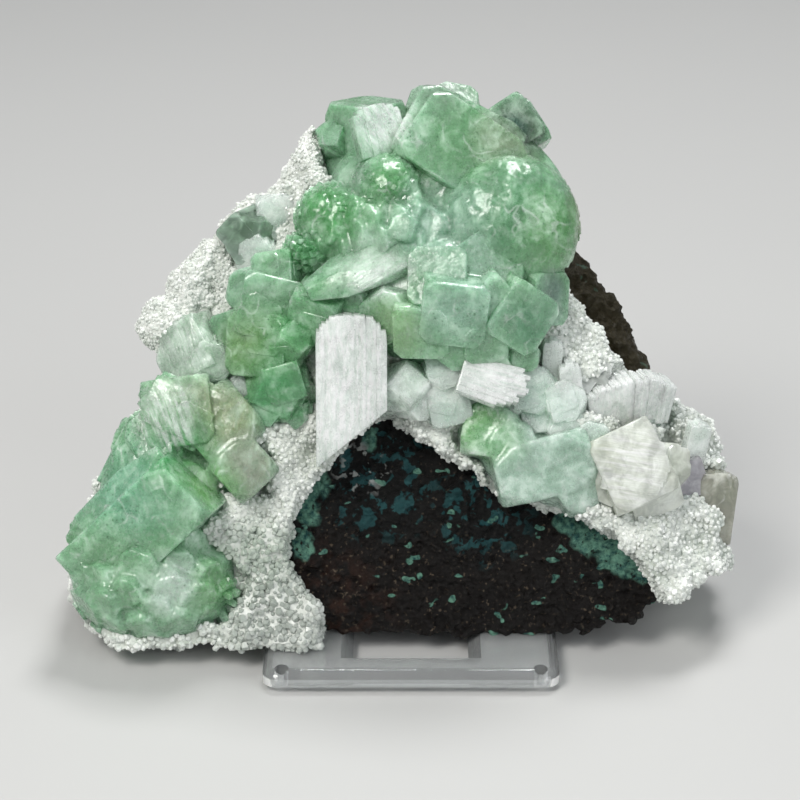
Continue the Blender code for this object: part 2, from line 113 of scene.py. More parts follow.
def editMode():
    bpy.ops.object.mode_set(mode="EDIT")


def objectMode():
    bpy.ops.object.mode_set(mode="OBJECT")


def selectAll():
    bpy.ops.mesh.select_all(action="SELECT")


def selectOnly(obj):
    deselectAll()
    obj.select_set(True)
    bpy.context.view_layer.objects.active = obj


def applyPlace(obj):
    selectOnly(obj)
    bpy.ops.object.transform_apply(location=True, rotation=True, scale=True)


def applyModifiers(obj):
    selectOnly(obj)
    for modifier in list(obj.modifiers):
        bpy.ops.object.modifier_apply(modifier=modifier.name)


def remove(*objects):
    for obj in objects:
        bpy.data.objects.remove(obj, do_unlink=True)


def newFolder(name):
    folder = bpy.data.collections.new(name)
    bpy.context.scene.collection.children.link(folder)
    return folder


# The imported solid's shape as a new object, with its loose triangles merged.
def copyOfNode(node, name):
    obj = bpy.data.objects.new(name, frame["nodes"][node].data.copy())
    bpy.context.scene.collection.objects.link(obj)
    obj.data.materials.clear()
    selectOnly(obj)
    editMode()
    selectAll()
    bpy.ops.mesh.remove_doubles(threshold=0.00001)
    objectMode()
    return obj


def boolean(obj, other, operation="DIFFERENCE"):
    modifier = obj.modifiers.new("cut", "BOOLEAN")
    modifier.operation = operation
    modifier.solver = "MANIFOLD"
    modifier.object = other
    applyModifiers(obj)
    remove(other)


def remesh(obj, voxel):
    modifier = obj.modifiers.new("even mesh", "REMESH")
    modifier.mode = "VOXEL"
    modifier.voxel_size = voxel * mm
    applyModifiers(obj)


# Moves the surface in and out by a noise: size and strength in mm.
def push(obj, kind, size, strength, middle=0.5):
    texture = bpy.data.textures.new(obj.name + kind, kind)
    texture.noise_scale = size * mm
    modifier = obj.modifiers.new(kind, "DISPLACE")
    modifier.texture = texture
    modifier.texture_coords = "LOCAL"
    modifier.strength = strength * mm
    modifier.mid_level = middle
    applyModifiers(obj)


# Cuts the selected object, in edit mode, by a plane and closes the cut.
def cutAway(point, out):
    selectAll()
    bpy.ops.mesh.bisect(plane_co=point, plane_no=out, use_fill=True, clear_outer=True)


# Selects the edges whose two ends fit, and stays in edit mode.
def selectEdges(obj, fits):
    editMode()
    bpy.ops.mesh.select_mode(type="EDGE")
    bpy.ops.mesh.select_all(action="DESELECT")
    objectMode()
    for edge in obj.data.edges:
        edge.select = fits(*(obj.data.vertices[v].co for v in edge.vertices))
    editMode()


def boxAt(centre, size):
    deselectAll()
    bpy.ops.mesh.primitive_cube_add(size=1, location=centre)
    obj = bpy.context.object
    obj.scale = size
    applyPlace(obj)
    return obj


def finishPiece(obj, material, slot, nodes, smooth=None):
    obj.data.materials.clear()
    obj.data.materials.append(material)
    if smooth:
        selectOnly(obj)
        bpy.ops.object.shade_smooth_by_angle(angle=math.radians(smooth))
    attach(obj, "root")
    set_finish(obj, slot)
    if nodes:
        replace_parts(obj, *nodes)
    print(obj.name, len(obj.data.polygons), "faces")
    return obj


# Building materials from nodes

def nodeIn(tree, kind, inputs=None, **settings):
    node = tree.nodes.new(kind)
    for key, value in settings.items():
        setattr(node, key, value)
    for key, value in (inputs or {}).items():
        if isinstance(value, bpy.types.NodeSocket):
            tree.links.new(value, node.inputs[key])
        else:
            node.inputs[key].default_value = value
    return node


# A shader node in the tree of the first socket among its inputs
def addNode(kind, inputs, **settings):
    sockets = [value for value in inputs.values() if isinstance(value, bpy.types.NodeSocket)]
    return nodeIn(sockets[0].id_data, "ShaderNode" + kind, inputs, **settings)


# A material, its shader and the place on the object that its looks depend on
def newMaterial(name, **values):
    material = bpy.data.materials.new(name)
    material.use_nodes = True
    shader = material.node_tree.nodes["Principled BSDF"]
    for key, value in values.items():
        shader.inputs[key].default_value = value
    return material, shader, nodeIn(material.node_tree, "ShaderNodeTexCoord").outputs["Object"]


def connect(shader, name, value):
    shader.id_data.links.new(value, shader.inputs[name])


def rgba(colour):
    return (*colour, 1.0)


# Size in mm.
def noise(place, size, detail=3.0, roughness=0.55, output="Fac"):
    inputs = {"Vector": place, "Scale": 1000 / size, "Detail": detail, "Roughness": roughness}
    return addNode("TexNoise", inputs).outputs[output]


def cells(place, size, feature="F1", output="Distance"):
    node = addNode("TexVoronoi", {"Vector": place, "Scale": 1000 / size}, feature=feature)
    return node.outputs[output]


def spread(value, low, high, toLow=0.0, toHigh=1.0):
    inputs = {"Value": value, "From Min": low, "From Max": high, "To Min": toLow, "To Max": toHigh}
    return addNode("MapRange", inputs).outputs["Result"]


def mixColour(share, first, second, blend="MIX"):
    first = first if isinstance(first, bpy.types.NodeSocket) else rgba(first)
    second = second if isinstance(second, bpy.types.NodeSocket) else rgba(second)
    node = addNode("Mix", {0: share, 6: first, 7: second}, data_type="RGBA", blend_type=blend)
    return node.outputs[2]


def math2(operation, first, second):
    return addNode("Math", {0: first, 1: second}, operation=operation).outputs["Value"]


def times(first, second):
    return math2("MULTIPLY", first, second)


def vectorMath(operation, first, second=None, scale=None):
    inputs = {0: first}
    if second is not None:
        inputs[1] = second
    if scale is not None:
        inputs["Scale"] = scale
    node = addNode("VectorMath", inputs, operation=operation)
    return node.outputs["Value" if operation in ("DISTANCE", "LENGTH") else "Vector"]


# The place, shifted by a soft noise of this size, by up to this amount in mm.
def warped(place, size, amount):
    drift = noise(place, size, 1.0, output="Color")
    centred = vectorMath("SUBTRACT", drift, (0.5, 0.5, 0.5))
    shift = vectorMath("SCALE", centred, scale=2 * amount * mm)
    return vectorMath("ADD", place, shift)


# 1 inside a ball round a place on the face, 0 outside it.
def within(place, centre, radius, soft=0.5):
    away = vectorMath("DISTANCE", place, onFace(centre))
    return spread(away, radius * (1 - soft) * mm, radius * (1 + soft) * mm, 1.0, 0.0)


def bump(shader, height, depth, strength=1.0, normal=None):
    inputs = {"Height": height, "Distance": depth * mm, "Strength": strength}
    if normal:
        inputs["Normal"] = normal
    node = addNode("Bump", inputs)
    connect(shader, "Normal", node.outputs["Normal"])
    return node.outputs["Normal"]


# A normal that tips a little from one small cell to the next, as on sugary crystal faces.
def glitter(place, size, amount, mask):
    tint = cells(place, size, output="Color")
    centred = vectorMath("SUBTRACT", tint, (0.5, 0.5, 0.5))
    shift = vectorMath("SCALE", centred, scale=times(mask, amount))
    normal = nodeIn(place.id_data, "ShaderNodeNewGeometry").outputs["Normal"]
    return vectorMath("NORMALIZE", vectorMath("ADD", normal, shift))


# Rays that run out from a centre on the face, as in a radiating crystal
def rays(place, centre, fineness):
    away = vectorMath("SUBTRACT", place, onFace(centre))
    far = vectorMath("LENGTH", away)
    shift = addNode("CombineXYZ", {"X": times(far, 12.0)}).outputs[0]
    moved = vectorMath("ADD", vectorMath("NORMALIZE", away), shift)
    inputs = {"Vector": moved, "Scale": fineness, "Detail": 3.0, "Roughness": 0.6}
    return addNode("TexNoise", inputs).outputs["Fac"]


# Fine parallel lines, running along a direction on the face
def lines(place, along, fine=0.7, length=9.0):
    turn = Vector(along).normalized().to_track_quat("X", "Z").to_matrix().to_4x4()
    inputs = {"Vector": place, "Rotation": (faceTurn @ turn).to_euler(), "Scale": (length, 1, 1)}
    node = addNode("Mapping", inputs, vector_type="TEXTURE")
    return noise(node.outputs[0], fine, 3.0, 0.6)


# A milky see-through crystal whose colour changes from place to place
def crystalMaterial(name, look):
    material, shader, place = newMaterial(name, **{
        "IOR": look["ior"], "Subsurface Weight": look["glow"], "Subsurface Scale": look["depth"],
        "Subsurface Radius": look["scatter"], "Coat Weight": look["gloss"], "Coat Roughness": 0.06})
    drifting = warped(place, 9, 3)

    # Clouds, and colours in zones: the tints of single crystals, and where a look says so, painted shade
    cloud = spread(noise(drifting, 11, 3.0, 0.6), 0.36, 0.66)
    colour = mixColour(cloud, look["pale"], look["colour"])
    for centre, radius, tint in look["zones"]:
        colour = mixColour(within(drifting, centre, radius), colour, tint)
    veil = noise(warped(place, 4, 2.5), 4.5, 3.0, 0.65)
    milky = spread(veil, 0.5, 0.78, 0.0, look["veil"])
    colour = mixColour(milky, colour, look["white"])

    # Rays and growth lines, in colour and in relief
    height = noise(place, 1.6, 3.0, 0.6)
    for centre, fineness, share in look["rays"]:
        ray = rays(drifting, centre, fineness)
        light = spread(ray, 0.52, 0.72, 0.0, share)
        dark = spread(ray, 0.46, 0.3, 0.0, share * 0.6)
        colour = mixColour(light, colour, look["white"])
        colour = mixColour(dark, colour, look["speck"])
        height = math2("ADD", height, times(ray, 1.5))
    for centre, radius, along, share in look["lined"]:
        line = lines(place, along)
        here = within(drifting, centre, radius, 0.35)
        white = times(spread(line, 0.42, 0.6, 0.15, share), here)
        colour = mixColour(white, colour, look["bright"])
        height = math2("ADD", height, times(times(line, here), 4.0))

    # Healed cracks and dark specks inside
    edges = cells(warped(place, 5, 3), 7, "DISTANCE_TO_EDGE")
    broken = spread(noise(place, 6), 0.52, 0.62, 0.0, look["cracks"])
    crack = times(spread(edges, 0.012, 0.03, 1.0, 0.0), broken)
    colour = mixColour(crack, colour, look["bright"])
    patchy = spread(noise(place, 12), 0.5, 0.62, 0.0, look["specks"])
    speck = times(spread(cells(place, 1.0), 0.14, 0.24, 1.0, 0.0), patchy)
    colour = mixColour(speck, colour, look["speck"])
    connect(shader, "Base Color", colour)

    # Clearness, gloss and fine relief
    low, high = look["clear"]
    connect(shader, "Transmission Weight", spread(veil, 0.4, 0.65, high, low))
    low, high = look["rough"]
    fine = noise(place, 0.9, 3.0, 0.7)
    connect(shader, "Roughness", spread(fine, 0.35, 0.65, low, high))
    grainy = times(noise(place, 0.45, 2.0, 0.6), look["grainHeight"])
    mask = spread(noise(place, 7), 0.42, 0.62)
    tipped = glitter(drifting, look["grain"], look["glitter"], mask)
    relief = math2("ADD", height, grainy)
    connect(shader, "Coat Normal", bump(shader, relief, 0.14, look["bump"], tipped))
    return material


# Crystals: one form is modelled for each kind of tip, and every crystal is a copy of it

crystalForms = {"slope": 58, "edge": 0.018, "softEdge": 0.04, "shares": (0.35, 0.6, 0.85, 1.2)}
goldenAngle = 2.39996


# A square crystal one unit wide and long, its tip at the origin.
def squareForm(share, edge, rounds=1):
    bpy.ops.mesh.primitive_cube_add(size=1, location=(0, 0, -0.5))
    obj = bpy.context.object
    obj.name = "crystalForm"
    applyPlace(obj)
    slope = math.radians(crystalForms["slope"])
    editMode()
    for corner in range(4):
        angle = math.radians(45 + 90 * corner)
        out = Vector((math.cos(angle), math.sin(angle), 0))
        cutAway(out * share / 2, out * math.sin(slope) + Vector((0, 0, math.cos(slope))))
    selectAll()
    bpy.ops.mesh.bevel(offset=edge, segments=rounds)
    objectMode()
    return obj


# A flat blade one unit wide, thick and tall, its foot at the origin.
def bladeForm(topShare):
    bpy.ops.mesh.primitive_cube_add(size=1, location=(0, 0, 0.5))
    obj = bpy.context.object
    obj.name = "bladeForm"
    applyPlace(obj)
    editMode()
    for side in (-1, 1):
        topCut = ((side * topShare / 2, 0, 1), (side * 0.6, 0, 0.8))
        edgeCut = ((side * 0.5, -0.3, 0), (side * 0.7, -0.7, 0))
        cutAway(*topCut)
        cutAway(*edgeCut)
    selectAll()
    bpy.ops.mesh.bevel(offset=0.03, segments=1)
    objectMode()
    return obj


squareForms = {share: squareForm(share, crystalForms["edge"]) for share in crystalForms["shares"]}
softForm = squareForm(1.0, crystalForms["softEdge"], 2)
bpy.ops.mesh.primitive_ico_sphere_add(subdivisions=4, radius=1, location=(0, 0, 0))
ballForm = bpy.context.object
flatBlade = bladeForm(0.75)


def frameAlong(axis, turn=0.0):
    quarter = Vector(axis).normalized().to_track_quat("Z", "Y").to_matrix().to_4x4()
    return quarter @ Matrix.Rotation(math.radians(turn), 4, "Z")


# One square crystal as (form, matrix) in the face's mm.
def square(tip, width, length, towards, turn, share, thick=1.0):
    form = squareForms.get(share, softForm)
    place = Matrix.Translation(Vector(tip)) @ frameAlong(towards, turn)
    return form, place @ Matrix.Diagonal((width, width * thick, length, 1))


# A rounded swelling
def ball(centre, radii, towards=(0, 0, 1), turn=0):
    place = Matrix.Translation(Vector(centre)) @ frameAlong(towards, turn)
    return ballForm, place @ Matrix.Diagonal((*radii, 1))


# Each row's crystal with smaller ones grown along its edges and low terraces on its end
def bundle(rows, seed, steps=7, terraces=3):
    chance = random.Random(seed)
    copies = []
    for tip, width, length, towards, turn, share in rows:
        copies.append(square(tip, width, length, towards, turn, share))
        turned = frameAlong(towards, turn).to_3x3()
        axis = Vector(towards).normalized()
        for number in range(steps):
            size = chance.uniform(0.28, 0.6)
            reach = (0.5 - size / 2) * width + chance.uniform(0.01, 0.05) * width
            u, v = chance.choice(((1, 0), (-1, 0), (0, 1), (0, -1)))
            along = chance.uniform(-1, 1) * (0.5 - size / 2) * width
            shift = turned @ Vector((u * reach + (1 - abs(u)) * along, v * reach + (1 - abs(v)) * along, 0))
            drop = chance.uniform(0.06, 0.4) * width
            leaning = axis + (turned @ Vector((u, v, 0))) * chance.uniform(0.0, 0.12)
            copies.append(square(
                Vector(tip) + shift - axis * drop, size * width, length * chance.uniform(0.5, 0.8),
                leaning, turn + chance.uniform(-4, 4), share))
        for number in range(terraces):
            size = chance.uniform(0.5, 0.7)
            corner = 0.5 * (0.88 - size) * width
            shift = turned @ Vector((chance.choice((-1, 1)) * corner, chance.choice((-1, 1)) * corner, 0))
            leaning = axis + turned @ Vector((chance.uniform(-0.06, 0.06), chance.uniform(-0.06, 0.06), 0))
            stepTip = Vector(tip) + shift + axis * 0.02 * width
            copies.append(square(stepTip, size * width, length * 0.4, leaning, turn, 1.2))
    return copies


# Many narrow crystals side by side whose ends make a rounded, toothed surface
def spray(row, seed):
    centre, radii, facing, spans, count, width, length, root, follow, share, uneven = row
    chance = random.Random(seed)
    turned = frameAlong(facing).to_3x3()
    copies = []
    highest, lowest = (math.cos(math.radians(angle)) for angle in spans)
    for number in range(count):
        rise = highest - (highest - lowest) * (number + 0.5) / count
        out = math.sqrt(1 - rise * rise)
        angle = number * goldenAngle + chance.uniform(-0.1, 0.1)
        way = turned @ Vector((out * math.cos(angle), out * math.sin(angle), rise))
        stretch = 1 - chance.uniform(0, uneven)
        tip = Vector(centre) + Vector(way[k] * radii[k] * stretch for k in range(3))
        normal = Vector(way[k] / radii[k] for k in range(3)).normalized()
        axis = normal * (1 - follow) + (tip - Vector(root)).normalized() * follow
        size = width * chance.uniform(0.85, 1.2)
        copies.append(square(tip, size, length, axis, chance.uniform(0, 90), share))
    return copies


def sprays(rows, seed):
    return [copy for number, row in enumerate(rows) for copy in spray(row, seed + number)]


# Upright blades side by side, which make one striated crystal
def blades(foot, width, thickness, heightAt, grows, faces, count, seed, fanOut=0.0, uneven=0.02):
    chance = random.Random(seed)
    grow = Vector(grows).normalized()
    right = Vector(faces).cross(grow).normalized()
    copies = []
    for number in range(count):
        along = ((number + 0.5 + chance.uniform(-0.35, 0.35)) / count) * 2 - 1
        step = width / count
        way = (grow + right * along * fanOut).normalized()
        across = (right - way * right.dot(way)).normalized()
        turned = Matrix((across, way.cross(across), way)).transposed().to_4x4()
        deep = thickness * chance.uniform(0.86, 1.0)
        height = heightAt(along) * (1 - chance.uniform(0, uneven))
        place = Vector(foot) + right * along * width * 0.5 * (1 - 1 / count)
        size = Matrix.Diagonal((step * chance.uniform(1.2, 2.6), deep, height, 1))
        copies.append((flatBlade, Matrix.Translation(place) @ turned @ size))
    return copies


# One closed crystal mass from all its overlapping crystals, melted together where soft is given
def grow(name, copies, soft=None):
    folder = newFolder(name + "Parts")
    first = None
    for form, place in copies:
        mesh = form.data.copy()
        mesh.transform(faceToWorld @ place)
        obj = bpy.data.objects.new(name, mesh)
        if first is None:
            first = obj
            bpy.context.scene.collection.objects.link(obj)
        else:
            folder.objects.link(obj)
    if len(copies) > 1:
        modifier = first.modifiers.new("grown together", "BOOLEAN")
        modifier.operation = "UNION"
        modifier.solver = "MANIFOLD"
        modifier.operand_type = "COLLECTION"
        modifier.collection = folder
        applyModifiers(first)
    remove(*list(folder.objects))
    bpy.data.collections.remove(folder)
    first.name = name
    if soft:
        remesh(first, soft["voxel"])
        melt = first.modifiers.new("melt", "SMOOTH")
        melt.factor = 0.5
        melt.iterations = soft["melt"]
        applyModifiers(first)
        push(first, "CLOUDS", soft["wave"], soft["waveHeight"])
    return first


# A crystal group as a finished piece: the growth, melted or not, with crisp crystals stood in it
def crystalPiece(name, copies, material, slot, nodes, smooth=20, melted=None, crisp=()):
    piece = grow(name, copies, melted)
    if crisp:
        boolean(piece, grow(name + "Crisp", crisp), "UNION")
    finishPiece(piece, material, slot, nodes, smooth)


# Camera, floor and light

view = {"place": (-0.76, 45.2, 497), "lens": 117.72}
cameraData = bpy.data.cameras.new("camera")
cameraData.lens = view["lens"]
cameraData.sensor_width = 36
cameraData.clip_start = 0.01
camera = bpy.data.objects.new("camera", cameraData)
camera.matrix_world = Matrix.Translation(onFace(view["place"])) @ faceTurn
bpy.context.scene.collection.objects.link(camera)
bpy.context.scene.camera = camera

studio = {
    "floor": (0.5, 0.5, 0.49), "floorSize": 3, "wallHeight": 1.6, "wallCurve": 0.5,
    "world": (0.86, 0.9, 0.95), "worldStrength": 0.3,
    "lights": (
        ("key", (-0.35, -0.4, 0.65), 0.35, 5.0, (1.0, 0.98, 0.95)),
        ("fill", (0.5, -0.5, 0.4), 0.5, 2.2, (0.95, 0.98, 1.0)),
        ("top", (0.1, 0.3, 0.75), 0.25, 4.0, (1.0, 1.0, 1.0)),
    ),
}
deselectAll()
bpy.ops.mesh.primitive_plane_add(size=studio["floorSize"], location=(0, 0, -0.00005))
floor = bpy.context.object
floor.name = "floor"
selectEdges(floor, lambda first, second: first.y > 1 and second.y > 1)
bpy.ops.mesh.extrude_region_move(TRANSFORM_OT_translate={"value": (0, 0, studio["wallHeight"])})
objectMode()
sweep = floor.modifiers.new("sweep", "BEVEL")
sweep.width = studio["wallCurve"]
sweep.segments = 16
applyModifiers(floor)
applyPlace(floor)
floorMaterial, floorShader, floorPlace = newMaterial("paleFloor", Roughness=0.55)
mottle = noise(floorPlace, 120, 4.0)
tone = mixColour(mottle, [c * 0.97 for c in studio["floor"]], studio["floor"])
connect(floorShader, "Base Color", tone)
floor.data.materials.append(floorMaterial)
bpy.ops.object.shade_smooth_by_angle(angle=math.radians(40))
floor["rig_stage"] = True

world = bpy.data.worlds.new("studio")
bpy.context.scene.world = world
world.use_nodes = True
world.node_tree.nodes["Background"].inputs["Color"].default_value = rgba(studio["world"])
world.node_tree.nodes["Background"].inputs["Strength"].default_value = studio["worldStrength"]
for name, place, size, power, colour in studio["lights"]:
    data = bpy.data.lights.new(name, "AREA")
    data.size = size
    data.energy = power
    data.color = colour
    light = bpy.data.objects.new(name, data)
    light.location = place
    light.rotation_euler = (Vector((0, 0, 0.04)) - Vector(place)).to_track_quat("-Z", "Y").to_euler()
    bpy.context.scene.collection.objects.link(light)
bpy.context.scene.view_settings.view_transform = "Standard"
print("studio set")

# The green masses in the middle. Soft rounded growth is melted together, and crisp crystals stand in it.

soft = {"voxel": 0.37, "melt": 5, "wave": 4, "waveHeight": 0.3}
green = {
    "colour": (0.2, 0.44, 0.23), "pale": (0.33, 0.55, 0.38), "white": (0.55, 0.7, 0.58),
    "bright": (0.8, 0.88, 0.82), "speck": (0.06, 0.2, 0.09), "clear": (0.08, 0.42), "rough": (0.18, 0.38),
    "gloss": 0.3, "glow": 0.8, "depth": 0.0045, "scatter": (0.85, 1.0, 0.88), "ior": 1.54, "veil": 0.6,
    "specks": 0.8, "glitter": 0.22, "grain": 0.9, "grainHeight": 0.5, "bump": 0.38, "cracks": 0.4,
    "zones": (
        ((12, 93, 8), 9, (0.17, 0.38, 0.19)), ((19, 93, 4), 6, (0.27, 0.38, 0.24)),
        # The grey zone at (7, 102, -2) on the dome at the top is painted shade inside that pale dome
        ((7, 102, -2), 7, (0.28, 0.37, 0.3)), ((22, 97, 1), 5.5, (0.09, 0.15, 0.1)),
        ((21.5, 97, 1), 2.2, (0.03, 0.1, 0.07)), ((-13, 96, 4), 6, (0.33, 0.56, 0.38)),
        ((-4, 97, 5), 4.5, (0.66, 0.78, 0.69)), ((19, 80, 13), 9, (0.15, 0.36, 0.19)),
        ((-14.6, 80, 10), 6.5, (0.12, 0.38, 0.14)), ((-3, 86, 12), 5, (0.15, 0.41, 0.17)),
        ((-19, 73, 8), 3.5, (0.11, 0.35, 0.14)), ((27, 76, 10), 7, (0.16, 0.4, 0.16)),
        ((31, 80, 4), 5, (0.24, 0.35, 0.17)), ((6, 77, 12), 8, (0.3, 0.5, 0.37)),
        ((-6, 69, 15), 6, (0.5, 0.67, 0.53)), ((11, 63, 18), 7, (0.32, 0.54, 0.4)),
        ((23, 59, 14), 5, (0.15, 0.37, 0.21)), ((27, 64, 8), 4, (0.2, 0.33, 0.26)),
        ((-2, 58, 14), 5, (0.3, 0.52, 0.27)), ((-25, 62, 6), 5, (0.25, 0.45, 0.27)),
        ((-28, 54, 6), 7, (0.21, 0.4, 0.16)), ((-19, 58, 9), 6, (0.15, 0.42, 0.18)),
        ((-24, 46, 8), 7, (0.11, 0.36, 0.15)),
    ),
    "rays": (((6.7, 75, -4), 16, 0.35),),
    "lined": (((-4, 97, 5), 5.5, (0.6, -0.75, 0), 0.9), ((-4, 68, 15), 5, (0.8, 0.5, 0), 0.6)),
}
centreSoft = [
    square((18.5, 89, 5), 15, 18, (0.5, 0.1, 0.86), 18, "soft"),
    square((4.5, 93, 5.5), 14, 18, (-0.15, 0.2, 0.95), 30, "soft"),
    ball((7.2, 98.2, -6), (8, 6.6, 8)), ball((8, 80, -1), (24, 20, 9)), ball((8, 64, 0), (21, 13, 13.5)),
    ball((-0.7, 77.6, 3), (11, 8, 9)), ball((8, 69.5, 6), (9, 7, 8.6)), ball((11, 90, -1), (12, 10, 8)),
    square((-0.4, 77.2, 13.8), 5, 8, (-0.1, 0.1, 1), 30, "soft"),
    square((-12, 62.5, 10), 9, 13, (-0.4, -0.3, 0.86), 20, "soft"),
]
# Each spray: centre, radii, way it faces, first and last angle, count, width, length, root, how far its
# crystals point away from the root, share of their ends left flat, unevenness
centreSprays = (
    ((19.5, 78, 5), (13.4, 13.4, 10.2), (0.2, 0.0, 1), (0, 100), 200, 4.8, 9, (9, 76, -2), 0.15, 0.85, 0.01),
    ((-3.2, 85.5, 3), (7, 6.5, 9), (-0.15, 0.35, 1), (0, 100), 80, 3.2, 8, (6, 77, 0), 0.3, 0.85, 0.03),
    ((-13.5, 79.5, 2), (7.2, 6.8, 8.6), (-0.5, 0.1, 1), (0, 100), 80, 3.2, 8, (6, 77, 0), 0.3, 0.85, 0.03),
    ((-4, 77, 2), (16, 9, 10.5), (-0.4, 0.0, 0.9), (0, 80), 36, 6, 9, (9, 76, -3), 0.8, 0.85, 0.05),
)
# The large smooth prisms that run out from the middle of the group, and the dome at its top.
# Each crystal: tip, width, length, way it points, turn about that, share of its end left flat (1.2: uncut)
centrePrisms = (
    ((4.5, 103, -3), 9, 12, (-0.2, 0.7, 0.7), 20, 0.85),
    ((10.5, 103.3, -3), 9, 12, (0.25, 0.65, 0.7), 60, 0.85),
    ((9.2, 60.6, 16.8), 12.5, 24, (-0.02, -0.42, 0.9), -4, 1.2),
    ((16.4, 62.3, 16.2), 9.5, 22, (0.2, -0.34, 0.91), 12, 1.2),
    ((22.3, 60.2, 13.8), 12, 22, (0.42, -0.3, 0.85), 4, 1.2),
    ((3.0, 57.2, 14.4), 10.5, 20, (-0.12, -0.5, 0.86), 14, 1.2),
    ((-3.6, 60.3, 12.8), 10.5, 18, (-0.32, -0.34, 0.88), 30, 0.85),
    ((15.2, 55.2, 13.6), 9.5, 16, (0.12, -0.56, 0.82), 38, 0.85),
    ((27.8, 64, 8.8), 10, 16, (0.75, -0.1, 0.66), 8, 1.2),
    ((6, 68.2, 15.8), 11, 16, (-0.15, 0.12, 1), 38, 1.2),
    ((15, 70, 14.6), 12, 16, (0.16, 0.05, 1), 18, 1.2),
    ((9.5, 53.6, 12.3), 7, 14, (0, -0.5, 0.86), 5, 0.85),
)
centreTeeth = (
    ((19.5, 78, 4), (13.9, 13.9, 11.5), (0.2, 0.0, 1), (58, 112), 210, 1.7, 7, (9, 76, -2), 0.6, 0.6, 0.03),
    ((-3.2, 85.5, 3), (7.2, 6.7, 9.4), (-0.15, 0.35, 1), (20, 105), 90, 1.5, 6, (6, 77, 0), 0.7, 0.6, 0.03),
    ((-13.5, 79.5, 2), (7.6, 7.1, 9.1), (-0.5, 0.1, 1), (30, 105), 110, 1.5, 6, (6, 77, 0), 0.7, 0.6, 0.03),
    ((-18.5, 73, 2), (5, 4.4, 7.5), (-0.5, -0.1, 1), (0, 105), 80, 1.7, 6, (2, 75, 0), 0.7, 0.6, 0.05),
)
centreRows = (
    ((-14.5, 96.5, -1), 7, 11, (-0.45, 0.4, 0.8), 30, 0.6),
    ((-25, 69, 7), 8.5, 12, (-0.45, 0.05, 0.9), 12, 1.2),
    ((-30.5, 66, 4), 8, 11, (-0.45, 0.05, 0.88), 40, 0.85),
    ((-25, 62.3, 8.5), 12, 12, (-0.02, -0.12, 1), -4, 1.2),
    ((-17.5, 59.5, 10), 9.5, 16, (-0.35, -0.5, 0.8), 20, 1.2),
    ((-28, 55.5, 7.5), 12, 13, (-0.35, -0.05, 0.93), -12, 1.2),
    ((-22, 54, 9.5), 8.5, 15, (-0.3, -0.6, 0.75), 38, 0.6),
    ((-33, 58, 3), 8, 11, (-0.45, -0.05, 0.88), 10, 1.2),
    ((-23.5, 46.2, 8.5), 12, 11, (-0.05, -0.25, 0.96), 28, 0.6),
    ((-27, 43.2, 6.5), 8, 9, (-0.25, -0.3, 0.9), 5, 0.6),
    ((-20, 43, 6.5), 6, 8, (0.1, -0.3, 0.95), 15, 0.6),
    ((16, 52.3, 11), 7, 10, (0.05, -0.35, 0.93), 22, 0.85),
    ((22.6, 53, 9.5), 6, 9, (0.2, -0.3, 0.93), 10, 0.85),
)
centreBlocks = [
    square((11.2, 92.4, 8.2), 21.5, 20, (0.1, 0.2, 0.97), -7, 1.2, 0.72),
    square((10.6, 94.6, 6.6), 22, 18, (0.1, 0.3, 0.95), -9, 1.2, 0.7),
    square((-7.2, 102.2, -2.5), 11.5, 17, (-0.03, 1, 0.28), 45, 1.2),
    square((21.3, 98.2, 1.5), 9.6, 9, (0.1, 0.15, 1), -22, 1.2, 0.8),
    square((22.6, 97.3, -0.5), 9.4, 9, (0.1, 0.15, 1), -24, 1.2, 0.84),
    square((-18, 65.2, 13), 9, 22, (-0.9, -0.4, 0.12), 25, 0.35, 0.45),
]
centreBlocks += blades(
    (-3.8, 91, 4.5), 9, 4, lambda along: 10 - 1.5 * along * along, (-0.25, 1, 0.0), (0.3, 0.1, 1), 9, 90)
centreCrisp = bundle(centreRows, 11, 4, 1) + bundle(centrePrisms, 12, 3, 0) + sprays(centreTeeth, 30)
crystalPiece(
    "greenCentre", centreSoft + sprays(centreSprays, 20), crystalMaterial("greenApophyllite", green),
    "green_apophyllite", ["apophyllite_centre"], 19, soft, centreCrisp + centreBlocks)

# The lower left group, from the yellowish blocks at its top to the bulge at the rock's foot

lowerLeft = dict(green, **{
    "zones": (
        ((-40, 42, 8), 8, (0.5, 0.62, 0.46)), ((-33, 42, 8), 6, (0.34, 0.43, 0.25)),
        ((-29, 32, 9), 6, (0.37, 0.43, 0.33)), ((-43, 36, 10), 7, (0.07, 0.34, 0.1)),
        ((-37, 29, 9), 5, (0.2, 0.46, 0.17)),
        ((-53, 28, 9), 9, (0.24, 0.52, 0.34)), ((-56, 16, 7), 7, (0.24, 0.48, 0.27)),
        ((-43, 11, 12), 5, (0.56, 0.7, 0.6)), ((-34, 10, 9), 5, (0.22, 0.48, 0.22)),
    ),
    "rays": (((-45.5, 18, 0), 14, 0.5),),
    "lined": (((-45, 41, 8), 6, (0.35, -0.9, 0), 0.8),),
})
lowerLeftSoft = [
    square((-34.5, 41, 8), 13, 13, (-0.05, 0.1, 0.98), 14, "soft"),
    square((-29.8, 32.5, 9), 10, 12, (0.08, 0.02, 1), 28, "soft"),
    square((-40.5, 27.5, 8), 12, 14, (0.4, 0.1, 0.9), 35, "soft"),
    ball((-45, 27, -1), (13, 15, 7)), ball((-47.5, 9.5, 0), (14, 8.8, 9.4)),
]
lowerLeftSpray = (
    (-47.5, 10.8, 0), (15.5, 11.6, 11.4), (-0.1, -0.4, 0.9), (0, 95), 34, 7, 10, (-45.5, 19, -3),
    0.75, 0.85, 0.04,
)
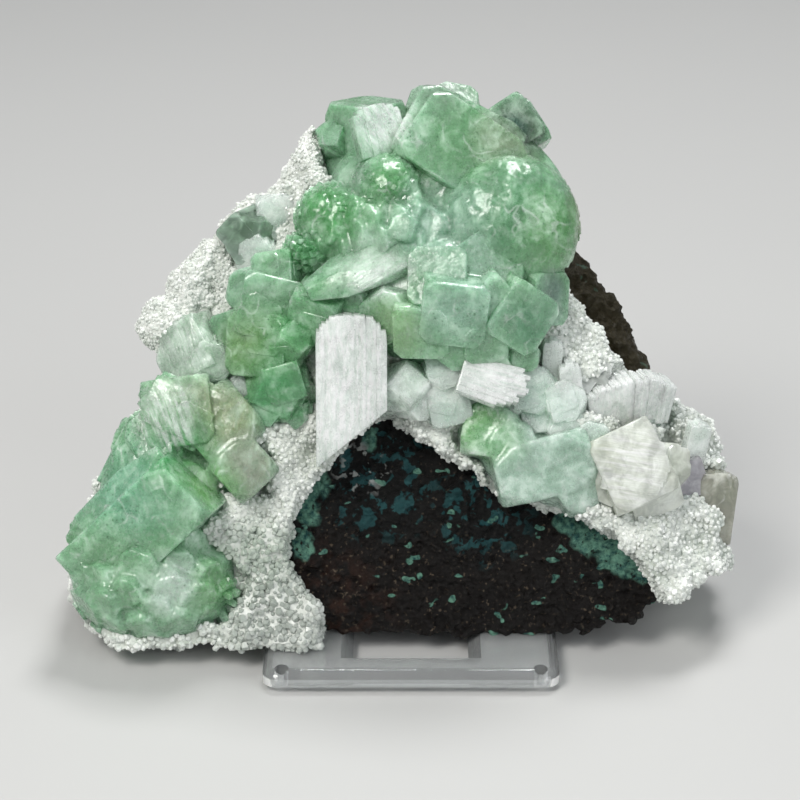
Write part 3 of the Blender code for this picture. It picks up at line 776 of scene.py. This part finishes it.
lowerLeftTeeth = (
    ((-52.5, 8.8, 0), (10.8, 9, 10.2), (-0.3, -0.4, 0.9), (50, 105), 120, 1.9, 8, (-46, 18, -4),
     0.6, 0.6, 0.04),
    ((-38, 7.8, 0), (7.6, 7, 9), (0.3, -0.4, 0.9), (40, 105), 80, 1.9, 8, (-44, 18, -4), 0.6, 0.6, 0.05),
)
lowerLeftRows = (
    ((-42.5, 43, 8.5), 13, 14, (-0.06, 0.02, 1), 26, 1.2),
    ((-47.5, 39.5, 6), 11, 13, (-0.35, 0.3, 0.88), 38, 0.85),
    ((-52, 38.5, 0), 8, 13, (-0.45, 0.45, 0.75), 30, 0.85),
    ((-55, 30, 1.5), 6, 11, (-0.5, 0.3, 0.8), 40, 0.85),
    ((-58.5, 19.5, 2), 11, 15, (-0.4, -0.1, 0.9), 38, 0.85),
)
lowerLeftBlocks = [
    square((-38.6, 30.8, 6.5), 14, 29, (0.7, 0.64, 0.32), 0, 1.2, 1.3),
    square((-43.5, 34.6, 7), 8, 22, (0.68, 0.7, 0.2), 45, 0.85),
]
lowerLeftBlocks += blades(
    (-55.5, 28.5, -1), 6, 4, lambda along: 17 - 3 * along * along,
    (0.46, 0.88, 0.12), (-0.3, 0.1, 0.95), 9, 91)
crystalPiece(
    "greenLowerLeft", lowerLeftSoft + spray(lowerLeftSpray, 40),
    crystalMaterial("seaGreenApophyllite", lowerLeft), "green_apophyllite", ["apophyllite_lower_left"],
    19, soft, bundle(lowerLeftRows, 31, 8, 3) + sprays(lowerLeftTeeth, 50) + lowerLeftBlocks)

# Smaller green and pale crystals round the bare patch and at the left shoulder

pale = dict(green, **{
    "colour": (0.6, 0.74, 0.63), "pale": (0.78, 0.86, 0.8), "white": (0.85, 0.9, 0.86),
    "speck": (0.22, 0.33, 0.24), "scatter": (1.0, 1.0, 1.0), "specks": 0.2,
    "zones": (), "rays": (), "lined": (),
})
glassy = dict(green, **{
    "colour": (0.22, 0.4, 0.24), "pale": (0.5, 0.64, 0.54), "zones": (), "rays": (), "lined": (),
    "clear": (0.3, 0.75), "rough": (0.06, 0.2), "glow": 0.5,
})
lobe = dict(pale, **{
    "colour": (0.42, 0.6, 0.48), "pale": (0.5, 0.67, 0.56),
    "zones": (((14, 40, 7), 5.5, (0.19, 0.46, 0.17)), ((17, 37, 8), 4, (0.28, 0.54, 0.3))),
    "rays": (((17, 36, 0), 9, 0.3),),
})
paleSparkling = dict(pale, **{
    "lined": (((-42, 54, 2), 6, (0.4, -0.9, 0), 0.6),), "zones": (((-40, 55, 2), 11, (0.42, 0.58, 0.44)),),
})
smallCrystals = (
    ("shoulderCrystal", "apophyllite_shoulder", glassy, "green_apophyllite", (
        ((-30.4, 76.5, 0), 10, 11, (-0.32, -0.06, 0.94), 25, 0.6),
    )),
    ("paleLeft", "apophyllite_pale_left", paleSparkling, "pale_apophyllite", (
        ((-42, 54.5, 2), 12, 12, (-0.42, 0.02, 0.9), 32, 0.85),
        ((-36.6, 52, 4), 8, 11, (-0.1, -0.1, 0.97), 12, 0.85),
    )),
    ("rightEdgeCrystal", "apophyllite_right_edge", glassy, "green_apophyllite", (
        ((61, 28, -7), 6, 6, (0.4, 0.1, 0.9), 10, 0.6),
    )),
)
for number, (name, node, look, slot, rows) in enumerate(smallCrystals):
    crystalPiece(name, bundle(rows, 50 + number), crystalMaterial(name + "Crystal", look), slot, [node])
crystalPiece("greenLobe", [
    ball((16, 39.3, 1), (6, 5.6, 6.2)), ball((22, 35, 0.5), (8, 6.2, 7)),
    ball((28.5, 31.5, 0), (9, 6.4, 7.4), (0, 0, 1), -25), ball((34, 28.8, -1), (6, 5.4, 6.4), (0, 0, 1), -20),
    square((15.8, 39.6, 7.8), 10, 9, (-0.1, 0.12, 0.98), 40, "soft"),
    square((20.5, 36.5, 8.4), 9, 9, (0.1, 0.1, 0.98), -30, "soft"),
    square((26.5, 32.4, 8.9), 19, 9, (0.08, -0.08, 0.99), -31, "soft", 0.6),
    square((33.5, 29, 7), 10, 8, (0.3, -0.2, 0.93), -20, "soft"),
], crystalMaterial("lobeApophyllite", lobe), "green_apophyllite", ["apophyllite_right_lobe"], 25, soft)
crystalPiece("paleByBlade", [
    square((0.9, 48.2, 9.2), 9.6, 12, (0.1, 0.15, 0.98), 38, 0.6),
    square((-2, 46, 7.2), 6.6, 10, (-0.2, -0.1, 0.97), 10, 0.85),
    square((3.6, 44.8, 7.6), 7.2, 10, (0.3, -0.15, 0.95), 25, 0.85),
], crystalMaterial("paleApophyllite", pale), "pale_apophyllite", ["apophyllite_by_blade"], 25)

# Clear yellowish and grey crystals at the right

clear = dict(pale, **{
    "colour": (0.68, 0.72, 0.6), "pale": (0.8, 0.84, 0.77), "white": (0.84, 0.87, 0.82),
    "bright": (0.94, 0.95, 0.92), "clear": (0.15, 0.5), "rough": (0.05, 0.22), "glow": 0.5, "glitter": 0.12,
    "lined": (((42, 33, 9), 6.5, (1, -0.15, 0), 1.0),),
})
purple = dict(clear, **{"colour": (0.5, 0.47, 0.52), "pale": (0.62, 0.6, 0.64), "lined": ()})
clearBlocks = bundle((((50.8, 32.6, 4.6), 9, 12, (0.6, 0.05, 0.8), -12, 0.85),), 61, 4, 2)
clearBlocks += [
    square((43.0, 33.0, 8.6), 15, 15, (0.08, 0.05, 0.99), -7, 1.2, 0.86),
    square((47.5, 26.8, 5.5), 10, 11, (0.25, -0.45, 0.85), -10, 1.2, 0.8),
    square((38.0, 28.5, 6.5), 6, 10, (-0.2, -0.3, 0.93), 10, 1.2),
]
clearBlocks += blades(
    (37.4, 33.6, 7.5), 11, 2.6, lambda along: 12.5 - 2.0 * abs(along),
    (1, -0.14, 0.0), (0.1, 0.05, 1), 13, 62)
crystalPiece(
    "clearBlock", clearBlocks, crystalMaterial("yellowishCrystal", clear), "yellowish_crystal",
    ["clear_block"])
crystalPiece(
    "purpleGreyCrystal", bundle((((54.5, 30, -1.5), 8, 9, (0.4, -0.1, 0.9), 30, 0.6),), 62),
    crystalMaterial("purpleGreyCrystalLook", purple), "yellowish_crystal", ["purple_grey_crystal"])

# White stilbite

stilbite = dict(pale, **{
    "colour": (0.6, 0.68, 0.62), "pale": (0.74, 0.8, 0.76), "white": (0.86, 0.9, 0.87),
    "bright": (0.95, 0.97, 0.95), "speck": (0.35, 0.42, 0.37), "clear": (0.05, 0.25), "rough": (0.2, 0.4),
    "specks": 0.3, "cracks": 0.0,
    "lined": (((-10, 48, 9), 16, (0, 1, 0), 1.0), ((42, 44, 0), 12, (0.1, 1, 0), 0.8)),
})
stilbiteMaterial = crystalMaterial("whiteStilbite", stilbite)
tabular = dict(clear, **{
    "colour": (0.34, 0.35, 0.28), "pale": (0.48, 0.48, 0.4), "white": (0.7, 0.7, 0.63), "lined": (),
})
# The upright blade, cut off on the slant at its foot
whiteBlade = grow("stilbiteBlade", blades(
    (-10, 33, 6.8), 13, 4.5, lambda along: 28.8 - 3.2 * max(0, (abs(along) - 0.45) / 0.55) ** 1.6,
    (0.0, 1, 0.2), (0.05, -0.2, 1), 22, 71, 0.0, 0.012))
selectOnly(whiteBlade)
editMode()
cutAway(onFace((-3.4, 43.0, 6)), faceTurn.to_3x3() @ Vector((0.63, -0.78, 0)))
objectMode()
finishPiece(whiteBlade, stilbiteMaterial, "white_stilbite", ["stilbite_blade"], 20)
crystalPiece("stilbiteSheaf", blades(
    (42.5, 40.8, -3), 15, 5, lambda along: 10.5 - 2.2 * along * along,
    (0.0, 1, 0.55), (0.35, -0.4, 1), 32, 72, 0.22, 0.08),
    stilbiteMaterial, "white_stilbite", ["stilbite_sheaf"])
fingers = (
    ("stilbiteFingerLeft", ["stilbite_finger_left"], (27.5, 48, 2), 3.6, 3, 10, (0.05, 1, 0.5), (0, -0.4, 1)),
    ("stilbiteFingerRight", ["stilbite_finger_right"], (32, 42, 2), 4, 3, 11.5, (-0.12, 1, 0.4),
     (0.1, -0.4, 1)),
    ("edgeFinger", ["edge_finger"], (55, 34, -5), 4.2, 3.4, 8, (0.2, 1, 0.4), (0.3, -0.4, 1)),
)
for name, nodes, foot, width, thickness, height, grows, faces in fingers:
    rows = blades(
        foot, width, thickness, lambda along: height * (1 - 0.12 * along * along), grows, faces, 4, 73)
    crystalPiece(name, rows, stilbiteMaterial, "white_stilbite", nodes)
crystalPiece("tabularCrystal", blades(
    (58.5, 18, -7), 6.8, 5, lambda along: 14 - 1.5 * along * along, (0.12, 1, 0.15), (0.25, -0.1, 1), 3, 77),
    crystalMaterial("greyTabular", tabular), "yellowish_crystal", ["tabular_crystal"])

# Small crystals in the crust round the bare patch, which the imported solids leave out

sparkling = dict(stilbite, **{
    "glitter": 0.35, "grain": 0.8, "lined": (((17, 47, 9), 9, (1, -0.28, 0), 1.0),),
})
greyBlade = dict(clear, **{"colour": (0.45, 0.5, 0.46), "pale": (0.6, 0.64, 0.6), "lined": ()})
crystalPiece("whiteCleavage", blades(
    (10.4, 50, 10.5), 7, 4, lambda along: 13.5 - 4 * (along - 0.2) ** 2,
    (1, -0.3, -0.05), (0.1, 0.2, 1), 12, 81, 0.1, 0.12),
    crystalMaterial("sparklingWhite", sparkling), "white_stilbite", [])
crystalPiece("greyBlades", blades(
    (28.5, 54, 0.5), 6, 3.5, lambda along: 12.5 - 3 * along * along,
    (0.85, -0.5, 0.1), (0.2, 0.3, 1), 4, 82, 0.1, 0.1),
    crystalMaterial("greyStilbite", greyBlade), "white_stilbite", [])
paleClear = dict(clear, **{
    "colour": (0.6, 0.77, 0.66), "pale": (0.78, 0.88, 0.81), "clear": (0.12, 0.4), "glow": 0.8,
    "rough": (0.15, 0.35), "gloss": 0.15, "lined": (),
})
paleBlocks = (
    ((25.5, 42.6, 5.5), 7, 9, (0.1, 0.2, 0.97), 30, 0.85),
    ((30.5, 40.4, 6), 7.5, 9, (0.1, 0.1, 0.97), -20, 0.85),
    ((35.6, 37.8, 6.5), 7, 9, (0.1, 0.1, 0.97), -12, 0.85),
    ((20, 46, 6.5), 7, 9, (-0.1, 0.2, 0.97), 15, 0.85),
    ((7.6, 50.8, 9), 7, 10, (0, 0.1, 1), 20, 0.85),
    ((8.5, 44.3, 7.4), 8, 10, (0, -0.1, 1), 12, 1.2),
    ((24.5, 47.2, 7), 9, 10, (0.1, 0.1, 0.98), 35, 0.85),
    ((30.5, 45, 6.5), 8, 9, (0.2, 0, 0.97), 15, 0.85),
    ((12.5, 45, 5.5), 6.5, 9, (-0.1, 0.0, 0.97), 25, 0.85),
    ((54.8, 24.6, -1.5), 5, 8, (0.2, -0.1, 0.97), 10, 0.85),
    ((47.6, 44.5, -2.5), 8, 9, (0.3, 0.2, 0.9), 30, 0.6),
    ((-23.5, 80, -1), 9, 10, (0.08, -0.05, 0.97), 35, 0.85),
    ((-28.5, 72, 0.5), 8, 10, (-0.3, -0.12, 0.93), 12, 0.85),
    ((-31, 47, 4), 6, 9, (-0.1, -0.2, 0.97), 28, 0.6),
)
crystalPiece(
    "paleBlocks", bundle(paleBlocks, 83, 4, 2), crystalMaterial("paleClear", paleClear),
    "pale_apophyllite", [])
print("crystals grown")

# The basalt

basalt = {
    "voxel": 0.58, "waves": (9, 3.0), "lumps": (2.6, 1.8), "pits": (3.2, 1.1), "holes": (1.5, 1.1),
    "black": (0.0015, 0.0015, 0.0015), "brown": (0.0105, 0.0075, 0.006), "rust": (0.03, 0.013, 0.008),
    "weathered": (0.022, 0.019, 0.015), "sand": (0.13, 0.1, 0.07), "upperTone": (0.002, 0.003, 0.003),
    "moss": (0.045, 0.036, 0.013), "chalk": (0.5, 0.52, 0.5),
    "darkTeal": ((0.004, 0.03, 0.04), (0.03, 0.12, 0.12)), "teal": ((0.01, 0.07, 0.07), (0.17, 0.37, 0.27)),
    "tealSpots": (
        ((31.5, 22.5, 0), 3), ((36, 19.5, 0), 4.4), ((41, 16, 0), 4.4), ((45, 13, 0), 3.4),
        ((-17.5, 28.5, 0), 3.8), ((-18.3, 24.5, 0), 3.4), ((-6.8, 38.2, 0), 2.4), ((-19.5, 17.5, 0), 2.6),
    ),
}


def basaltMaterial(look):
    stone, shader, place = newMaterial("vesicularBasalt", **{"Specular IOR Level": 0.3})
    drift = warped(place, 3, 1.6)
    tone = mixColour(noise(drift, 6, 6.0, 0.7), look["black"], look["brown"])
    patchy = spread(noise(place, 3, 5.0), 0.45, 0.6)
    rusty = times(within(drift, (-13, 6, 0), 10), patchy)
    tone = mixColour(rusty, tone, look["rust"])
    depth = addNode("SeparateXYZ", {0: place}).outputs["Y"]
    tone = mixColour(spread(depth, 0.004, 0.02, 0.0, 0.8), tone, look["weathered"])
    sand = spread(noise(place, 0.8, 2.0), 0.62, 0.68)
    sand = times(sand, spread(noise(place, 9), 0.4, 0.6, 0.2, 0.9))
    tone = mixColour(sand, tone, look["sand"])

    # The upper part is blacker, with dark teal chips
    upperLeft = within(drift, (-5, 31, 0), 12, 0.25)
    upper = math2("MAXIMUM", upperLeft, within(drift, (15, 24, 0), 9, 0.3))
    tone = mixColour(times(upper, 0.7), tone, look["upperTone"])
    chips = times(spread(noise(drift, 3.2, 3.0, 0.6), 0.54, 0.57), upper)
    tone = mixColour(chips, tone, mixColour(noise(place, 2), *look["darkTeal"]))

    # Teal patches at the rim, and flecks all over
    teal = None
    for centre, radius in look["tealSpots"]:
        spot = within(drift, centre, radius, 0.12)
        teal = spot if teal is None else math2("MAXIMUM", teal, spot)
    teal = times(teal, spread(noise(place, 1.6, 4.0, 0.7), 0.36, 0.42))
    mapped = {"Vector": warped(place, 3, 1.5), "Scale": (0.6, 1, 1.2)}
    fleckPlace = addNode("Mapping", mapped).outputs[0]
    fleck = spread(cells(fleckPlace, 3.8), 0.19, 0.22, 1.0, 0.0)
    fleck = times(fleck, spread(noise(place, 5), 0.42, 0.46))
    shade = spread(noise(place, 1.3, 5.0, 0.7), 0.36, 0.6)
    shade = mixColour(shade, *look["teal"])
    tone = mixColour(math2("MAXIMUM", teal, fleck), tone, shade)
    chalk = spread(noise(place, 2.2, 2.0), 0.58, 0.62)
    chalk = times(within(drift, (-8, 32, 0), 4.5, 0.3), chalk)
    tone = mixColour(chalk, tone, look["chalk"])
    moss = times(within(drift, (46, 60, -14), 22, 0.3), 0.7)
    tone = mixColour(moss, tone, look["moss"])
    connect(shader, "Base Color", tone)
    rough = spread(noise(place, 2, 4.0), 0.3, 0.7, 0.3, 0.85)
    connect(shader, "Roughness", rough)
    relief = math2("ADD", noise(place, 1.0, 6.0, 0.75), cells(place, 1.2))
    bump(shader, relief, 1.3)
    return stone


rock = copyOfNode("basalt_matrix", "basaltRock")
remesh(rock, basalt["voxel"])
push(rock, "CLOUDS", *basalt["waves"])
push(rock, "CLOUDS", *basalt["lumps"])
push(rock, "VORONOI", *basalt["pits"])
push(rock, "VORONOI", *basalt["holes"])
finishPiece(rock, basaltMaterial(basalt), "basalt", ["basalt_matrix"], 50)

# The druse crust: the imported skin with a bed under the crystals, and grains all over it

crust = {
    "voxel": 0.7, "bed": 2.2, "bedVoxel": 1.2, "waves": (7, 3.6), "lumps": (2.4, 2.8), "behind": (16, 14),
    "behindMiddle": (0, 0.2125, 0), "behindSize": (0.4, 0.4, 0.4), "behindCuts": 60,
    "patchDepth": (-25, 60), "shoulderDepth": (-70, 60), "topRightDepth": (-70, 30),
    "grey": (0.5, 0.54, 0.48), "white": (0.8, 0.82, 0.78), "dirt": (0.3, 0.33, 0.28),
}
barePatch = (
    (-3, 43.3), (0.5, 39.5), (5, 37.6), (10.6, 32.9), (18.2, 27.2), (26.8, 24.3), (33.4, 22.8), (39, 19.6),
    (44.8, 14.8), (48, 11), (51, 6), (51, -14), (-15, -14), (-16, 6), (-21.7, 12), (-23, 17), (-20, 27),
    (-16, 32), (-10, 37.6),
)
bareShoulder = (
    (25.5, 90), (25.5, 76), (27.5, 69), (31.2, 64), (33.5, 59.5), (37, 54.7), (41.5, 49.4), (51, 46),
    (64, 38), (64, 90),
)
belowFoot = ((46, -20), (46, 6), (52, 8.5), (58, 12), (75, 17), (75, -20))
bareTopRight = ((20, 84), (36, 78), (44, 104), (20, 104))


# A block with this outline on the face, made from a flat ring of corners.
def outlineBlock(name, outline, low, high):
    deselectAll()
    bpy.ops.mesh.primitive_circle_add(vertices=len(outline), radius=1, fill_type="NGON", location=(0, 0, 0))
    obj = bpy.context.object
    obj.name = name
    for vertex, (x, y) in zip(obj.data.vertices, reversed(outline)):
        vertex.co = (x, y, low)
    editMode()
    selectAll()
    bpy.ops.mesh.extrude_region_move(TRANSFORM_OT_translate={"value": (0, 0, high - low)})
    selectAll()
    bpy.ops.mesh.normals_make_consistent(inside=False)
    objectMode()
    obj.matrix_world = faceToWorld
    applyPlace(obj)
    return obj


# The rock, grown or shrunk by some mm
def swollenRock(name, by):
    obj = copyOfNode("basalt_matrix", name)
    remesh(obj, crust["bedVoxel"])
    swell = obj.modifiers.new("swell", "DISPLACE")
    swell.strength = by * mm
    swell.mid_level = 0
    applyModifiers(obj)
    remesh(obj, crust["bedVoxel"])
    return obj


# The crust reaches a little way round the rock, and ends behind it in an uneven edge.
bed = swollenRock("druseBed", crust["bed"])
boolean(bed, swollenRock("rockInside", -crust["bed"]))
behind = boxAt(crust["behindMiddle"], crust["behindSize"])
editMode()
selectAll()
bpy.ops.mesh.subdivide(number_cuts=crust["behindCuts"])
objectMode()
push(behind, "CLOUDS", *crust["behind"])
boolean(bed, behind)
boolean(bed, outlineBlock("patchCut", barePatch, *crust["patchDepth"]))
boolean(bed, outlineBlock("shoulderCut", bareShoulder, *crust["shoulderDepth"]))
druse = copyOfNode("druse_crust", "druseCrust")
remesh(druse, crust["voxel"])
boolean(druse, bed, "UNION")
boolean(druse, outlineBlock("footCut", belowFoot, *crust["shoulderDepth"]))
boolean(druse, outlineBlock("topRightCut", bareTopRight, *crust["topRightDepth"]))
boolean(druse, grow("crustLumps", [
    ball((-40.5, 65, -7), (5.5, 6, 6)), ball((-45, 59.5, -6), (6, 6, 6)), ball((-37, 70, -8), (5, 6, 5)),
]), "UNION")
remesh(druse, crust["voxel"])
push(druse, "CLOUDS", *crust["waves"])
push(druse, "CLOUDS", *crust["lumps"])


def druseMaterial(look):
    sugar, shader, place = newMaterial("whiteDruse", IOR=1.5)
    tone = spread(noise(place, 8, 5.0), 0.35, 0.65)
    tone = mixColour(tone, look["grey"], look["white"])
    dirt = spread(noise(place, 3, 5.0, 0.7), 0.6, 0.75, 0.0, 0.6)
    tone = mixColour(dirt, tone, look["dirt"])
    connect(shader, "Base Color", tone)
    rough = spread(noise(place, 1, 3.0), 0.3, 0.7, 0.25, 0.6)
    connect(shader, "Roughness", rough)
    bump(shader, cells(place, 0.9), 0.4, 0.8)
    return sugar


finishPiece(druse, druseMaterial(crust), "druse", ["druse_crust"], 40)


# A small blocky grain about one unit across.
def grainForm(name, cuts, squeeze):
    deselectAll()
    bpy.ops.mesh.primitive_ico_sphere_add(subdivisions=1, radius=0.56, location=(0, 0, 0))
    obj = bpy.context.object
    obj.name = name
    editMode()
    for point, out in cuts:
        cutAway(point, out)
    objectMode()
    obj.scale = squeeze
    applyPlace(obj)
    return obj


grainForms = (
    grainForm("grainRound", (
        ((0, 0, 0.36), (0.2, 0, 1)), ((-0.3, -0.2, 0), (-1, -0.6, 0.2)),
    ), (1, 1, 0.95)),
    grainForm("grainBlock", (
        ((0.3, 0, 0), (1, 0.2, 0.1)), ((0, 0.32, 0), (0, 1, 0.2)), ((-0.1, -0.1, 0.34), (-0.2, 0.1, 1)),
    ), (1, 0.9, 1.1)),
)


# Marks where grains can sit: not inside a crystal, and only where keep says so.
def openGround(obj, probes, keep):
    trees = []
    graph = bpy.context.evaluated_depsgraph_get()
    for probe in probes:
        trees.append(BVHTree.FromObject(probe, graph))
    outward = faceTurn.to_3x3() @ Vector((0.02, 0.05, 1)).normalized()
    back = faceToWorld.inverted()
    lift = 0.0002
    marks = []
    for vertex in obj.data.vertices:
        start = vertex.co + vertex.normal * lift
        free = keep(back @ vertex.co)
        for tree in trees if free else ():
            hit, normal, index, distance = tree.ray_cast(start, outward)
            if hit and normal.dot(outward) > 0:
                free = 0.0
                break
        marks.append(float(free))
    attribute = obj.data.attributes.new("open_ground", "FLOAT", "POINT")
    attribute.data.foreach_set("value", marks)


# Grains strewn over the marked ground, as one mesh.
def scatter(name, ground, forms, spacing, sizes, seed):
    obj = ground.copy()
    obj.data = ground.data.copy()
    obj.name = name
    bpy.context.scene.collection.objects.link(obj)
    tree = bpy.data.node_groups.new(name, "GeometryNodeTree")
    tree.interface.new_socket("Geometry", in_out="INPUT", socket_type="NodeSocketGeometry")
    tree.interface.new_socket("Geometry", in_out="OUTPUT", socket_type="NodeSocketGeometry")
    entry = nodeIn(tree, "NodeGroupInput")
    leave = nodeIn(tree, "NodeGroupOutput")
    marks = nodeIn(tree, "GeometryNodeInputNamedAttribute", {"Name": "open_ground"})
    points = nodeIn(tree, "GeometryNodeDistributePointsOnFaces", {
        "Mesh": entry.outputs[0], "Distance Min": spacing * mm, "Density Max": 2.2 / (spacing * mm) ** 2,
        "Density Factor": marks.outputs["Attribute"], "Seed": seed}, distribute_method="POISSON")
    join = nodeIn(tree, "GeometryNodeJoinGeometry")
    for form in forms:
        info = nodeIn(tree, "GeometryNodeObjectInfo", {"Object": form})
        single = nodeIn(tree, "GeometryNodeGeometryToInstance", {0: info.outputs["Geometry"]})
        tree.links.new(single.outputs[0], join.inputs[0])
    size = nodeIn(tree, "FunctionNodeRandomValue", {2: sizes[0] * mm, 3: sizes[1] * mm, "Seed": seed + 1})
    anyTurn = {1: (6.3, 6.3, 6.3), "Seed": seed + 2}
    turn = nodeIn(tree, "FunctionNodeRandomValue", anyTurn, data_type="FLOAT_VECTOR")
    place = nodeIn(tree, "GeometryNodeInstanceOnPoints", {
        "Points": points.outputs["Points"], "Instance": join.outputs[0], "Pick Instance": True,
        "Rotation": turn.outputs[0], "Scale": size.outputs[1]})
    realize = nodeIn(tree, "GeometryNodeRealizeInstances", {0: place.outputs[0]})
    tree.links.new(realize.outputs[0], leave.inputs[0])
    modifier = obj.modifiers.new("scatter", "NODES")
    modifier.node_group = tree
    applyModifiers(obj)
    for attribute in [a for a in obj.data.attributes if a.name == "open_ground"]:
        obj.data.attributes.remove(attribute)
    return obj


groundNames = ("basaltRock", "druseCrust")
probes = [obj for obj in bpy.data.objects if obj.get("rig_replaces") and obj.name not in groundNames]
shoulderY = 46
footY = 22
middleX = -8
rimZ = -14
# Each region: where it lies on the face, the space between grains, their sizes and the seed
grainRegions = {
    "druseGrainsShoulder": (lambda p: p.x < 0 and p.y > shoulderY and p.z > rimZ, 0.68, (0.5, 1.1), 1),
    "druseGrainsLeft": (
        lambda p: p.x < middleX and footY < p.y <= shoulderY and p.z > rimZ, 0.8, (0.6, 1.35), 2),
    "druseGrainsFoot": (lambda p: p.x < middleX and p.y <= footY and p.z > rimZ, 0.95, (0.7, 1.9), 3),
    "druseGrainsRight": (
        lambda p: (p.x >= 0 or (p.x >= middleX and p.y <= shoulderY)) and p.z > rimZ,
        0.82, (0.55, 1.35), 4),
    "druseGrainsRim": (lambda p: p.z <= rimZ, 1.6, (1.1, 2.0), 5),
}
grainLook = {
    "grey": (0.58, 0.62, 0.57), "white": (0.9, 0.92, 0.88), "single": (0.42, 0.46, 0.42),
    "darker": (((-28, 13, 5), 10, (0.3, 0.37, 0.3)), ((-24, 3, 5), 9, (0.3, 0.33, 0.3))),
}


def grainMaterial(look):
    sugar, shader, place = newMaterial("druseGrain", **{
        "Subsurface Weight": 0.3, "Subsurface Scale": 0.0012, "Subsurface Radius": (1, 1, 1), "IOR": 1.5})
    tone = spread(noise(place, 2.5, 4.0), 0.35, 0.65)
    tone = mixColour(tone, look["grey"], look["white"])
    single = addNode("SeparateColor", {0: cells(place, 1.1, output="Color")}).outputs[0]
    tone = mixColour(spread(single, 0.5, 0.9, 0.0, 0.55), tone, look["single"])
    drift = warped(place, 5, 3)
    for centre, radius, tint in look["darker"]:
        tone = mixColour(times(within(drift, centre, radius), 0.75), tone, tint)
    connect(shader, "Base Color", tone)
    rough = spread(noise(place, 1, 3.0), 0.3, 0.7, 0.12, 0.5)
    connect(shader, "Roughness", rough)
    return sugar


sugarGrains = grainMaterial(grainLook)
for name, (keep, spacing, sizes, seed) in grainRegions.items():
    ground = druse.copy()
    ground.data = druse.data.copy()
    openGround(ground, probes, keep)
    grains = scatter(name, ground, grainForms, spacing, sizes, seed)
    remove(ground)
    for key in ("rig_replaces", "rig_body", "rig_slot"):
        if key in grains:
            del grains[key]
    grains.parent = None
    finishPiece(grains, sugarGrains, "druse", [])
print("druse strewn")

# The base plate

plate = {
    "width": 55.5, "depth": 60, "thick": 4, "corner": 3, "edge": 0.3, "bar": 6, "slope": 2.3,
    "window": (21.8, 38), "hole": 2.6, "holeIn": (3.6, 2.4),
}
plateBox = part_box("base_plate")
plateMiddle = (plateBox[0] + plateBox[1]) / 2
basePlate = boxAt(plateMiddle, (plate["width"] * mm, plate["depth"] * mm, plate["thick"] * mm))
basePlate.name = "basePlate"
# All its edges are rounded, and then softened
selectOnly(basePlate)
editMode()
selectAll()
bpy.ops.mesh.bevel(offset=plate["corner"] * mm, segments=10)
objectMode()
soften = basePlate.modifiers.new("edges", "BEVEL")
soften.width = plate["edge"] * mm
soften.segments = 2
soften.limit_method = "ANGLE"
soften.angle_limit = math.radians(60)
applyModifiers(basePlate)
frontY = plateBox[0].y
top = plateBox[1].z
windowY = frontY + (plate["bar"] + plate["slope"] + plate["window"][1] / 2) * mm
windowSize = (plate["window"][0] * mm, plate["window"][1] * mm)
windowCut = boxAt((plateMiddle.x, windowY, plateMiddle.z), (*windowSize, plate["thick"] * 4 * mm))
boolean(basePlate, windowCut)
rimCut = boxAt((plateMiddle.x, windowY, top), (*windowSize, plate["slope"] * 2 * mm))
for vertex in rimCut.data.vertices:
    if vertex.co.z > top:
        for axis, middle in ((0, plateMiddle.x), (1, windowY)):
            vertex.co[axis] += math.copysign(2 * plate["slope"] * mm, vertex.co[axis] - middle)
boolean(basePlate, rimCut)
for x in (-1, 1):
    for y in (-1, 1):
        place = (
            plateMiddle.x + x * (plate["width"] / 2 - plate["holeIn"][0]) * mm,
            plateMiddle.y + y * (plate["depth"] / 2 - plate["holeIn"][1]) * mm, plateMiddle.z)
        bpy.ops.mesh.primitive_cylinder_add(
            vertices=32, radius=plate["hole"] / 2 * mm, depth=plate["thick"] * 5 * mm, location=place)
        hole = bpy.context.object
        applyPlace(hole)
        boolean(basePlate, hole)


def acrylicMaterial():
    acrylic, shader, place = newMaterial("clearAcrylic", **{
        "Transmission Weight": 0.86, "IOR": 1.49, "Base Color": (0.96, 0.98, 0.98, 1)})
    scuffs = spread(noise(place, 9, 5.0, 0.7), 0.45, 0.75, 0.02, 0.12)
    connect(shader, "Roughness", scuffs)
    return acrylic


finishPiece(basePlate, acrylicMaterial(), "acrylic", ["base_plate"], 30)

remove(flatBlade, softForm, ballForm, *squareForms.values(), *grainForms)
print("base plate made")

sizes = {"cad": [list(corner) for corner in cadBounds], "visual": [list(corner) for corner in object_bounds()]}
